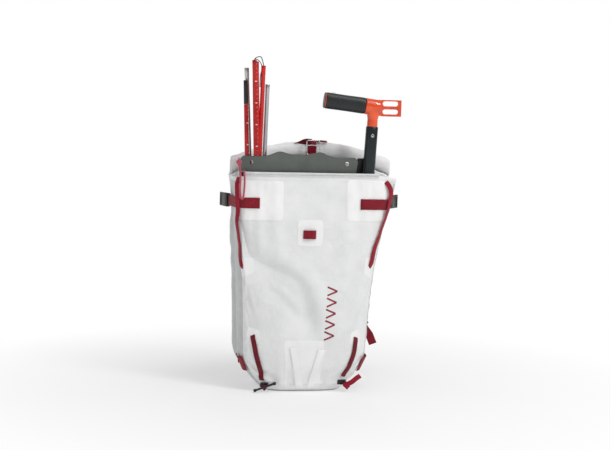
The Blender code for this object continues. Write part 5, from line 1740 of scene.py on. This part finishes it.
def makeShaft():
    place = shaftFrame()
    rx, ry, wall = handle["rx"], handle["ry"], 0.0016
    length = handle["length"]
    rows = [
        (-length, 0.0004), (-length + 0.0006, 0.0),
        *[(-length + length * k / 12, 0.0) for k in range(1, 12)], (-0.0006, 0.0), (0.0, 0.0004)
    ]
    rings = [ovalRing(place, z, rx - cut, ry - cut) for z, cut in rows]
    inside = [ovalRing(place, z, rx - wall + cut, ry - wall + cut) for z, cut in rows[::-1]]
    rings += inside
    heights = [z for z, _ in rows] + [z for z, _ in rows[::-1]]
    mesh = gridMesh(
        "shovelShaft", rings, lambda k, i: (heights[k % len(heights)], i / 48), around=True, loop=True
    )
    turnOut(mesh)
    piece = addPiece("shovelShaft", mesh, "shaftAlloy")
    cutters = []
    for z in (-0.021, -0.335):
        cutters.append(rodMesh(place @ Vector((0, -0.03, z)), place @ Vector((0, -0.002, z)), 0.0046, 36))
    for z in (-0.060, -0.100):
        cutters.append(rodMesh(place @ Vector((0, 0.002, z)), place @ Vector((0, 0.03, z)), 0.0030, 28))
    cutThrough(piece, cutters)
    piece.data.set_sharp_from_angle(angle=math.radians(45))
    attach(piece, "handle")
    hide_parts("shovel_shaft")
    # sprung button: a bright ring round a dark dimpled centre
    face = -handle["ry"]
    rings = []
    for out, r in (
        (-0.0030, 0.0041), (0.0004, 0.0041), (0.0009, 0.0039), (0.0012, 0.0034), (0.0012, 0.0022),
        (0.0008, 0.0019)
    ):
        rings.append([
            place @ Vector((r * math.cos(t), face - out, -0.021 + r * math.sin(t)))
            for t in (2 * math.pi * i / 40 for i in range(40))
        ])
    ringMesh = gridMesh("button", rings, lambda k, i: (k / 6, i / 40), around=True, caps=True)
    button = addPiece("lockButton", ringMesh, "steelWire", "lock_button")
    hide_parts("lock_button")
    dot = rodMesh(
        place @ Vector((0, face - 0.0001, -0.021)), place @ Vector((0, face - 0.00105, -0.021)), 0.0018, 28
    )
    centre = addPiece("lockButtonCentre", dot, "blackAcetal", "lock_button")


def makeHandle():
    place = shaftFrame()
    hub = Vector((0, 0, 0.0465))
    tilt = handle["gripTilt"] - handle["lean"]
    along = Vector((-math.cos(tilt), 0, math.sin(tilt)))
    up = Vector((math.sin(tilt), 0, math.cos(tilt)))
    tee = solidCopy("handleTee", ["handle_tee"], "orangeTee", "handle", voxel=0.0009, smoothing=5)
    rows = []
    start, length = handle["gripStart"] + 0.0004, handle["gripLength"] + 0.0024
    for at, swell in ((0.0, 0.90), (0.0006, 0.965), (0.002, 0.985), (0.006, 1.0), (0.012, 1.0)):
        rows.append((at, swell))
    for k in range(1, 24):
        share = k / 24
        rows.append((0.012 + (length - 0.024) * share, 1.0 - 0.018 * math.sin(math.pi * share)))
    for at, swell in ((0.012, 1.0), (0.005, 0.995), (0.002, 0.98), (0.0006, 0.955), (0.0, 0.90)):
        rows.append((length - at, swell))
    r, d = handle["gripR"], handle["gripDepth"]

    def ring(at, a, b):
        found = []
        for i in range(72):
            t = 2 * math.pi * i / 72
            u, v = signedPower(math.cos(t), 2 / 2.6), signedPower(math.sin(t), 2 / 2.6)
            found.append(place @ (hub + along * (start + at) + up * a * u + Vector((0, b * v, 0))))
        return found

    rings = [ring(at, r * s, d * s) for at, s in rows]
    rings += [ring(at, r * 0.78, d * 0.75) for at, _ in rows[::-1]]
    count = len(rows)
    mesh = gridMesh(
        "gripSleeve", rings, lambda k, i: ((k if k < count else 2 * count - k) / count * length, i / 72),
        around=True, loop=True
    )
    turnOut(mesh)
    grip = addPiece("gripSleeve", mesh, "gripRubber", "handle")
    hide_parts("grip_sleeve")
    # a thin rim at the grip's free end, and the pin that holds the grip on
    rim = []
    for at, s in ((-0.0006, 0.95), (-0.0004, 0.985), (0.0006, 0.99), (0.0010, 0.97), (0.0011, 0.93)):
        rim.append(ring(length + at, r * s, d * s))
    cap = [
        ring(length + at, r * s, d * s)
        for at, s in ((0.0004, 0.93), (0.0016, 0.93), (0.0021, 0.90), (0.0023, 0.82))
    ]
    capPiece = addPiece(
        "gripCap", gridMesh("gripCap", cap, lambda k, i: (k * 0.001, i / 72), around=True, caps=True),
        "gripRubber", "handle"
    )
    band = addPiece(
        "gripRim", gridMesh("gripRim", rim, lambda k, i: (k * 0.001, i / 72), around=True, caps=True),
        "orangeTee", "handle"
    )
    pins = []
    for at in (length - 0.0165, length - 0.0215):
        spot = place @ (hub + along * (start + at) + up * (r - 0.002))
        pins.append(rodMesh(spot, spot + (place.to_3x3() @ up) * 0.0042, 0.0009, 20))
    pin = joined("gripPin", pins, "steelWire", "handle")


makeShaft()
makeHandle()
print("handle made")

# probe sections

probe = {"r": 0.0052, "wall": 0.0011, "sides": 36}


def tubeEnds(node):
    # the two ends of a tube's middle line, found from the solid
    data = [v.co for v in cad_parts[node].data.vertices]
    middle = (min(p.z for p in data) + max(p.z for p in data)) / 2
    lows = [p for p in data if p.z < middle]
    highs = [p for p in data if p.z > middle]
    average = lambda found: sum((p.copy() for p in found), Vector()) / len(found)
    return average(lows), average(highs)


def makeSection(name, low, high, finish, slotName, nodes=(), radius=None, collar=True):
    radius = radius or probe["r"]
    along = (high - low).normalized()
    total = (high - low).length
    rows = [
        (0.0, 0.90), (0.0004, 0.98), (0.0010, 1.0), (total * 0.25, 1.0), (total * 0.5, 1.0),
        (total * 0.75, 1.0)
    ]
    if collar:
        rows += [
            (total - 0.0180, 1.0), (total - 0.0176, 1.035), (total - 0.0012, 1.035), (total - 0.0004, 1.0),
            (total, 0.90)
        ]
    else:
        rows += [(total - 0.0010, 1.0), (total - 0.0004, 0.98), (total, 0.90)]
    across = along.cross(Vector((0, 1, 0))).normalized()
    side = along.cross(across)
    rings, travel = [], []
    inner = radius - probe["wall"]
    for at, share in rows:
        rings.append([
            low + along * at + (across * math.cos(t) + side * math.sin(t)) * radius * share
            for t in (2 * math.pi * i / probe["sides"] for i in range(probe["sides"]))
        ])
        travel.append(at)
    for at in (total, total - 0.02, 0.02, 0.0):
        rings.append([
            low + along * at + (across * math.cos(t) + side * math.sin(t)) * inner
            for t in (2 * math.pi * i / probe["sides"] for i in range(probe["sides"]))
        ])
        travel.append(at)
    travel.append(travel[0])
    mesh = gridMesh(
        name, rings, lambda k, i: (travel[k % len(rings)], i / probe["sides"]), around=True, loop=True
    )
    turnOut(mesh)
    piece = addPiece(name, mesh, finish, "probe")
    if nodes:
        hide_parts(*nodes)
    return piece


def makeProbe():
    for node, name, finish, slotName in (
        ("probe_tip_tube", "probeTipTube", "silverTube", "silver_alloy"),
        ("probe_scale_tube", "probeScaleTube", "scaleTube", "red_alloy"),
        ("probe_second_tube", "probeSecondTube", "redTube", "red_alloy"),
        ("probe_end_tube", "probeEndTube", "silverTube", "silver_alloy"),
    ):
        low, high = tubeEnds(node)
        makeSection(name, low, high, finish, slotName, [node])
    low, high = tubeEnds("probe_scale_tube")
    aside = Vector((0.0062, 0.0078, -0.003))
    makeSection("probeMiddleTube", low + aside, high + aside, "redTube", "red_alloy", radius=0.0050)
    low, high = tubeEnds("probe_grip_tube")
    split = low.lerp(high, 0.86)
    makeSection("probeGripTube", split, high, "blackTube", "black_alloy", ["probe_grip_tube"], collar=False)
    makeSection(
        "probeLowTube", low, split - (high - low).normalized() * 0.0003, "scaleTube", "red_alloy",
        radius=0.0050, collar=False
    )
    scaleTop, secondTop = tubeEnds("probe_scale_tube")[1], tubeEnds("probe_second_tube")[1]
    sag = Vector((0, 0, -0.010))
    rise = [
        scaleTop + Vector((0.005, 0.002, 0.006)), (scaleTop + secondTop) / 2 + Vector((0.004, 0, 0.0133))
    ]
    fall = [secondTop + Vector((-0.002, -0.001, 0.008)), secondTop, secondTop + sag]
    first = smoothPath([scaleTop + sag, scaleTop, *rise, *fall], 90)
    inner = [
        scaleTop + Vector((0.0012, 0, -0.012)), scaleTop + Vector((0.0022, 0, 0.0015)),
        (scaleTop + secondTop) / 2 + Vector((0.0012, -0.002, 0.0030)),
        secondTop + Vector((-0.0040, -0.001, -0.004)), secondTop + Vector((-0.0068, 0, -0.024)),
        secondTop + Vector((-0.0074, 0.001, -0.050))
    ]
    cables = [tubeMesh("cable", first, 0.00105, 14), tubeMesh("cable", smoothPath(inner, 60), 0.00095, 14)]
    cable = joined("probeCable", cables, "cableSheath", "probe")
    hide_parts("probe_cable")


makeProbe()
print("probe made")

# zip along the pocket's mouth

zipRun = {"left": -0.168, "right": 0.160, "z": 0.515, "tape": 0.0105, "lift": 0.0009, "pitch": 0.0016}


def makeZip():
    low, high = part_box("zip_coil")
    middle = (low.z + high.z) / 2
    count = 150
    line, normals = [], []
    for k in range(count + 1):
        x = mix(low.x, high.x, k / count)
        q = qAt(x, middle)
        line.append(onCloth(q, middle, zipRun["lift"]))
        normals.append(skinNormal(q, middle))
    line = softened(line, 6)
    tape = addPiece(
        "zipTape", ribbonMesh("zipTape", line, normals, zipRun["tape"], 0.0007), "zipTape", "pack"
    )
    teeth = []
    for side in (-1, 1):
        row = [p + Vector((0, -0.0007, side * 0.0011)) for p in line]
        teeth.append(row)
        stitch([p + Vector((0, -0.0005, side * 0.0050)) for p in line], "whiteThread")
    coil = rowOfShapes(
        "zipCoil", teeth, zipRun["pitch"], (0.00062, 0.0013, 0.0009), "coilTeeth", "pack", 0.03
    )
    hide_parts("zip_coil")
    slider = solidCopy("zipSlider", ["zip_slider"], "blackAcetal", "zip_slider", 0.0009)
    low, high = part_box("zip_slider")
    x, y, z = (low.x + high.x) / 2, low.y, (low.z + high.z) / 2
    bridge = [
        Vector((x, y + 0.0006, z - 0.003)), Vector((x, y - 0.0016, z - 0.0015)),
        Vector((x, y - 0.0018, z + 0.0025)), Vector((x, y + 0.0004, z + 0.0045))
    ]
    eye = addPiece(
        "sliderBridge", tubeMesh("bridge", smoothPath(bridge, 24), 0.0011, 16), "blackAcetal", "zip_slider"
    )


pull = {
    "radius": 0.0023,
    "line": (  # from the slider down, round and up again
        (-0.1590, -0.1190, 0.5235),
        (-0.1574, -0.1204, 0.5050),
        (-0.1578, -0.1208, 0.4820),
        (-0.1594, -0.1208, 0.4640),
        (-0.1628, -0.1209, 0.4585),
        (-0.1662, -0.1208, 0.4640),
        (-0.1676, -0.1206, 0.4840),
        (-0.1672, -0.1204, 0.5050),
        (-0.1684, -0.1204, 0.5240),
        (-0.1706, -0.1202, 0.5380),
    ),
    "knotSize": 0.00165,
}


def makePull():
    line = evenly(smoothPath(pull["line"], 160), 0.0012)
    length = sum((b - a).length for a, b in zip(line, line[1:]))
    cordPiece = addPiece("pullCord", tubeMesh("pullCord", line, pull["radius"], 16), "fleckCord", "zip_pull")
    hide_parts("zip_pull")
    centre, size = line[-1] + Vector((-0.0006, 0, 0.0036)), pull["knotSize"]
    loops = []
    for k in range(120):
        t = 2 * math.pi * k / 120
        loops.append(
            centre
            + Vector((
                size * (math.sin(t) + 2 * math.sin(2 * t)), size * -1.1 * math.sin(3 * t),
                size * 1.25 * (math.cos(t) - 2 * math.cos(2 * t))
            ))
        )
    knotted = tubeMesh("knot", loops, pull["radius"] * 0.92, 16, closed=True)
    end = [
        centre + Vector((0.0008, 0, 0.002)), centre + Vector((0.0002, -0.0006, 0.007)),
        centre + Vector((-0.0012, -0.0004, 0.0105))
    ]
    knotPiece = joined(
        "pullKnot", [knotted, tubeMesh("tip", smoothPath(end, 14), pull["radius"] * 0.9, 14)], "fleckCord",
        "zip_pull"
    )
    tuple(pull["line"][0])
    [list(p) for p in line]


makeZip()
makePull()
print("zip made")

# hem round the pocket's mouth

for drop, thread in ((0.0190, "whiteThread"), (0.0165, "whiteThread")):
    stitch(
        [onCloth(q, bag["mouth"] - drop, 0.0003) for q in (k / 160 * 1.88 - 0.94 for k in range(161))],
        thread
    )

# printed mark: a column of plain chevrons

printMark = {
    "x": 0.0580, "top": 0.2530, "step": 0.0265, "count": 5, "wide": 0.0235, "tall": 0.0200, "stroke": 0.0040
}


def makeMark():
    strokes = []
    for k in range(printMark["count"]):
        z = printMark["top"] - k * printMark["step"]
        x, wide, tall = printMark["x"] - 0.0012 * k, printMark["wide"], printMark["tall"]
        for top, low in (
            ((x - wide / 2, z), (x + wide / 2, z - tall / 2)),
            ((x + wide / 2, z - tall / 2), (x - wide / 2, z - tall))
        ):
            flat = [(mix(top[0], low[0], t / 12), mix(top[1], low[1], t / 12)) for t in range(13)]
            points = [onCloth(qAt(a, b), b, 0.0003) for a, b in flat]
            strokes.append(ribbonMesh(
                "stroke", points, [skinNormal(qAt(a, b), b) for a, b in flat], printMark["stroke"], 0.0002
            ))
    made = joined("printMark", strokes, "printInk", "pack")


makeMark()

# painted shade: the grey shaded copy of the white cloth on the pocket's sides

pocketCloth.data.materials.append(finishes["shadedSideCloth"])
for polygon in pocketCloth.data.polygons:
    middle = polygon.center
    side = 1.0 if middle.x > 0 else -1.0
    if abs(middle.x) > halfWidth(middle.z, side) - 0.0085 and middle.z < bag["mouth"] - 0.022:
        polygon.material_index = 1

# buckles, sliders and locks

moulded = {
    "sternumSocket": ("sternum_socket", "pack"),
    "sternumProng": ("sternum_prong", "sternum_prong"),
    "hipSocket": ("hip_socket", "pack"),
    "hipProng": ("hip_prong", "hip_prong"),
    "sideSocketLeft": ("compression_socket_left", "pack"),
    "sideSocketRight": ("compression_socket_right", "pack"),
    "sideProngLeft": ("compression_prong_left", "compression_prong_left"),
    "sideProngRight": ("compression_prong_right", "compression_prong_right"),
    "axeSliderLeft": ("axe_slider_left", "pack"),
    "axeSliderRight": ("axe_slider_right", "pack"),
    "ladderLockLeft": ("ladder_lock_left", "pack"),
    "ladderLockRight": ("ladder_lock_right", "pack"),
}
for pieceName, (node, bodyName) in moulded.items():
    solidCopy(pieceName, [node], "blackAcetal", bodyName, 0.0006)
toggle = solidCopy("axeToggle", ["axe_toggle_left"], "cableSheath", "axe_toggle", 0.0005)
print("buckles made")


def boxFlat(piece, turned=False):
    # lays each face on the plane it mostly faces, for the woven finishes
    mesh = piece.data
    layer = mesh.uv_layers.new(name="flat") if "flat" not in mesh.uv_layers else mesh.uv_layers["flat"]
    for polygon in mesh.polygons:
        n = [abs(c) for c in polygon.normal]
        for at in polygon.loop_indices:
            p = mesh.vertices[mesh.loops[at].vertex_index].co
            if n[1] >= n[0] and n[1] >= n[2]:
                place = (p.x, p.z)
            elif n[0] >= n[2]:
                place = (p.y, p.z)
            else:
                place = (p.x, p.y)
            layer.data[at].uv = place[::-1] if turned else place


# webbing behind the pack

for pieceName, node, turned in (
    ("shoulderWebbingLeft", "shoulder_webbing_left", True),
    ("shoulderWebbingRight", "shoulder_webbing_right", True),
    ("sternumStrapLeft", "sternum_strap_left", False),
    ("sternumStrapRight", "sternum_strap_right", False),
    ("hipStrapLeft", "hip_strap_left", False),
    ("hipStrapRight", "hip_strap_right", False),
):
    webbing = solidCopy(pieceName, [node], "redWebbing", "pack", 0.0004, angle=50)
    boxFlat(webbing, turned)
haul = solidCopy("haulLoop", ["haul_loop"], "redWebbing", "haul_loop", 0.0005, angle=50)
boxFlat(haul)

# padded pieces: remeshed, blown up a little as cloth, then seamed

padding = {"voxel": 0.0048, "frames": 20, "pressure": 4.0}


def puffed(name, node, finish, cap, slack):
    shape = bmesh.new()
    shape.from_mesh(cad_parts[node].data)
    bmesh.ops.remove_doubles(shape, verts=shape.verts, dist=2e-5)
    mesh = bpy.data.meshes.new(name)
    shape.to_mesh(mesh)
    shape.free()
    piece = addPiece(name, mesh, finish)
    step = piece.modifiers.new("grain", "REMESH")
    step.mode, step.voxel_size = "VOXEL", padding["voxel"]
    bake(piece)
    slackCloth(piece, lambda point, k: 0.0, slack, padding["frames"], cap, padding["pressure"], 0.3, 0.0)
    step = piece.modifiers.new("soften", "SMOOTH")
    step.factor, step.iterations = 0.5, 3
    bake(piece)
    subdivide(piece)
    if not piece.data.materials:
        piece.data.materials.append(finishes[finish])
    boxFlat(piece)
    moveOut(piece, lambda point: crinkle(point, 0.0006, 0.022))
    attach(piece, "pack")
    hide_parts(node)
    return piece


def binding(name, line, radius=0.0022, finish="greyBinding", closed=False):
    made = addPiece(name, tubeMesh(name, line, radius, 14, closed=closed), finish, "pack")
    return made


backPad = puffed("backPad", "back_pad", "spacerMesh", 0.004, 0.01)


def padGroove(point):
    # two upright channels and three across let air through
    if point.y < 0.093:
        return 0.0
    down = 0.0030 * bump(abs(point.x), 0.045, 0.0065)
    across = sum(0.0022 * bump(point.z, z, 0.006) for z in (0.155, 0.255, 0.355))
    return -max(down, across)


moveOut(backPad, padGroove)
low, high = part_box("back_pad")
rim = [
    Vector((x, high.y - 0.004, z))
    for x, z in ((low.x, low.z), (high.x, low.z), (high.x, high.z), (low.x, high.z))
]
rim = [p.copy() for a, b in zip(rim, rim[1:] + rim[:1]) for p in (a.lerp(b, t / 24) for t in range(24))]
binding("padBinding", softened(rim, 4), 0.0024, closed=True)

shoulder = {"rootX": 0.052, "top": 0.466, "width": 0.060, "spread": (0.68, 1.24), "drop": (-0.012, 0.030)}


def shoulderLine(side):
    spread, drop = shoulder["spread"][side > 0], shoulder["drop"][side > 0]
    rows = (
        (0.000, 0.0240, -0.016),
        (0.002, 0.0380, 0.004),
        (0.006, 0.0600, -0.022),
        (0.014, 0.0730, -0.086),
        (0.034 * spread, 0.0730, -0.160 - drop * 0.3),
        (0.066 * spread, 0.0580, -0.235 - drop * 0.7),
        (0.096 * spread, 0.0380, -0.290 - drop),
    )
    return [Vector((side * (shoulder["rootX"] + x), 0.085 + y, shoulder["top"] + z)) for x, y, z in rows]


for sideName, sideSign in (("Left", -1.0), ("Right", 1.0)):
    node = "_" + sideName.lower()
    puffed(
        "shoulderStrap" + sideName, "shoulder_strap" + node, "spacerMesh", 0.003, 0.01
    )
    line = smoothPath(shoulderLine(sideSign), 90)
    along = tangents(line)
    for edge in (-1, 1):
        path = []
        for k, (point, t) in enumerate(zip(line, along)):
            share = k / 89 * 17
            wide = shoulder["width"] * (0.80 + 0.20 * ease(share / 5) - 0.34 * ease((share - 11) / 6))
            out = Vector((0, 1, 0)) - t * t.y if t.z < 0.2 else Vector((0, -t.z, t.y))
            path.append(point + out.cross(t).normalized() * edge * (wide / 2 - 0.0005))
        binding(f"strapBinding{sideName}{edge}", softened(path, 6), 0.0026)
    puffed("hipFin" + sideName, "hip_fin" + node, "spacerMesh", 0.003, 0.01)
print("padded pieces made")

# mesh wall between the tools, with a black sleeve for the shaft at its top

divider = {"tab": ((0.112, 0.150), (0.440, 0.5535))}


def makeDivider():
    low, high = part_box("tool_divider")
    y = (low.y + high.y) / 2
    wide, tall = high.x - low.x, high.z - low.z
    rows, flats = [], []
    for k in range(61):
        z = low.z + tall * k / 60
        rows.append([
            Vector((low.x + wide * i / 48, y + 0.0008 * math.sin(i * 0.55) * math.sin(k * 0.21), z))
            for i in range(49)
        ])
        flats.append([(p.x, p.z) for p in rows[-1]])
    mesh = gridMesh("toolDivider", rows, lambda k, i: flats[k][i], centre=bagCentre)
    piece = addPiece("toolDivider", mesh, "dividerMesh")
    thicken(piece, 0.0009, 0.0)
    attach(piece, "pack")
    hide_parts("tool_divider")
    (left, right), (foot, top) = divider["tab"]
    rows, flats = [], []
    for k in range(41):
        z = mix(foot, top, k / 40)
        inset = 0.010 * max(0.0, (k - 30) / 10) ** 2
        rows.append([
            Vector((mix(left + inset, right, i / 16), y - 0.0012 - 0.0012 * math.sin(math.pi * i / 16), z))
            for i in range(17)
        ])
        flats.append([(p.x, p.z) for p in rows[-1]])
    mesh = gridMesh("shaftSleeve", rows, lambda k, i: flats[k][i], centre=bagCentre)
    sleeve = addPiece("shaftSleeve", mesh, "cableSheath")
    thicken(sleeve, 0.0010, 0.0)
    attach(sleeve, "pack")


makeDivider()
for node in ("roll_stiffener", "frame_sheet"):
    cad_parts[node].data.materials.clear()
    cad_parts[node].data.materials.append(finishes["stiffSheet"])

for (threadName, threadBody), lines in stitchRuns.items():
    made = rowOfShapes(
        f"stitches_{threadName}_{threadBody}", lines, 0.0024, (0.00095, 0.00027, 0.00027), threadName,
        threadBody
    )
print("stitches made")

# pale floor that fades into the surroundings, and soft studio light

studio = {
    "surround": (1.0, 1.0, 1.0),
    "surroundPower": 1.0,
    "dimmed": 0.40,  # of the surround away from the wall behind the object
    "floorGlow": 0.42,
    "floorTone": (0.93, 0.93, 0.935),
    "fadeFrom": 0.30,
    "fadeTo": 0.95,
    # name: place, aim, size, watts
    "key": ((1.9, -2.3, 2.7), (0.0, -0.05, 0.30), 1.1, 50.0),
    "fill": ((-2.6, -2.2, 1.2), (0.0, 0.0, 0.35), 2.2, 2.0),
    "rim": ((0.6, 2.4, 2.2), (0.0, 0.0, 0.45), 1.4, 8.0),
    "top": ((0.3, -0.9, 2.6), (0.0, 0.0, 0.50), 1.0, 12.0),
}


def makeStudio():
    world = bpy.data.worlds.new("surround")
    scene.world = world
    world.use_nodes = True
    ground = world.node_tree.nodes["Background"]
    ground.inputs["Color"].default_value = (*studio["surround"], 1.0)
    sky = world.node_tree
    toward = addNode(sky, "ShaderNodeTexCoord").outputs["Generated"]
    behind = addNode(sky, "ShaderNodeSeparateXYZ", {"Vector": toward}).outputs[1]
    power = range01(sky, behind, 0.55, 0.90, studio["dimmed"], studio["surroundPower"])
    sky.links.new(power, ground.inputs["Strength"])
    material = bpy.data.materials.new("floorTone")
    material.use_nodes = True
    tree = material.node_tree
    shader = tree.nodes["Principled BSDF"]
    shader.inputs["Base Color"].default_value = (*studio["floorTone"], 1.0)
    shader.inputs["Roughness"].default_value = 0.9
    shader.inputs["Specular IOR Level"].default_value = 0.1
    place = addNode(tree, "ShaderNodeTexCoord").outputs["Object"]
    away = addNode(tree, "ShaderNodeVectorMath", {0: place}, operation="LENGTH").outputs["Value"]
    share = range01(tree, away, studio["fadeFrom"], studio["fadeTo"], studio["floorGlow"], 1.0)
    glow = addNode(tree, "ShaderNodeEmission", {"Color": (*studio["surround"], 1.0), "Strength": 1.0})
    both = addNode(tree, "ShaderNodeMixShader", {0: share, 1: shader.outputs[0], 2: glow.outputs[0]})
    tree.links.new(both.outputs[0], tree.nodes["Material Output"].inputs["Surface"])
    mesh = bpy.data.meshes.new("floor")
    rim = [(60 * math.cos(math.pi * k / 32), 60 * math.sin(math.pi * k / 32), 0.0) for k in range(64)]
    mesh.from_pydata(rim, [], [tuple(range(64))])
    mesh.materials.append(material)
    floor = bpy.data.objects.new("floor", mesh)
    scene.collection.objects.link(floor)
    for name in ("key", "fill", "rim", "top"):
        place, aim, size, watts = studio[name]
        lamp = bpy.data.lights.new(name, "AREA")
        lamp.shape = "DISK"
        lamp.size = size
        lamp.energy = watts
        light = bpy.data.objects.new(name, lamp)
        scene.collection.objects.link(light)
        light.location = place
        light.rotation_mode = "QUATERNION"
        light.rotation_quaternion = (Vector(aim) - Vector(place)).to_track_quat("-Z", "Y")
    scene.view_settings.view_transform = "Standard"


makeStudio()
print("floor and light made")
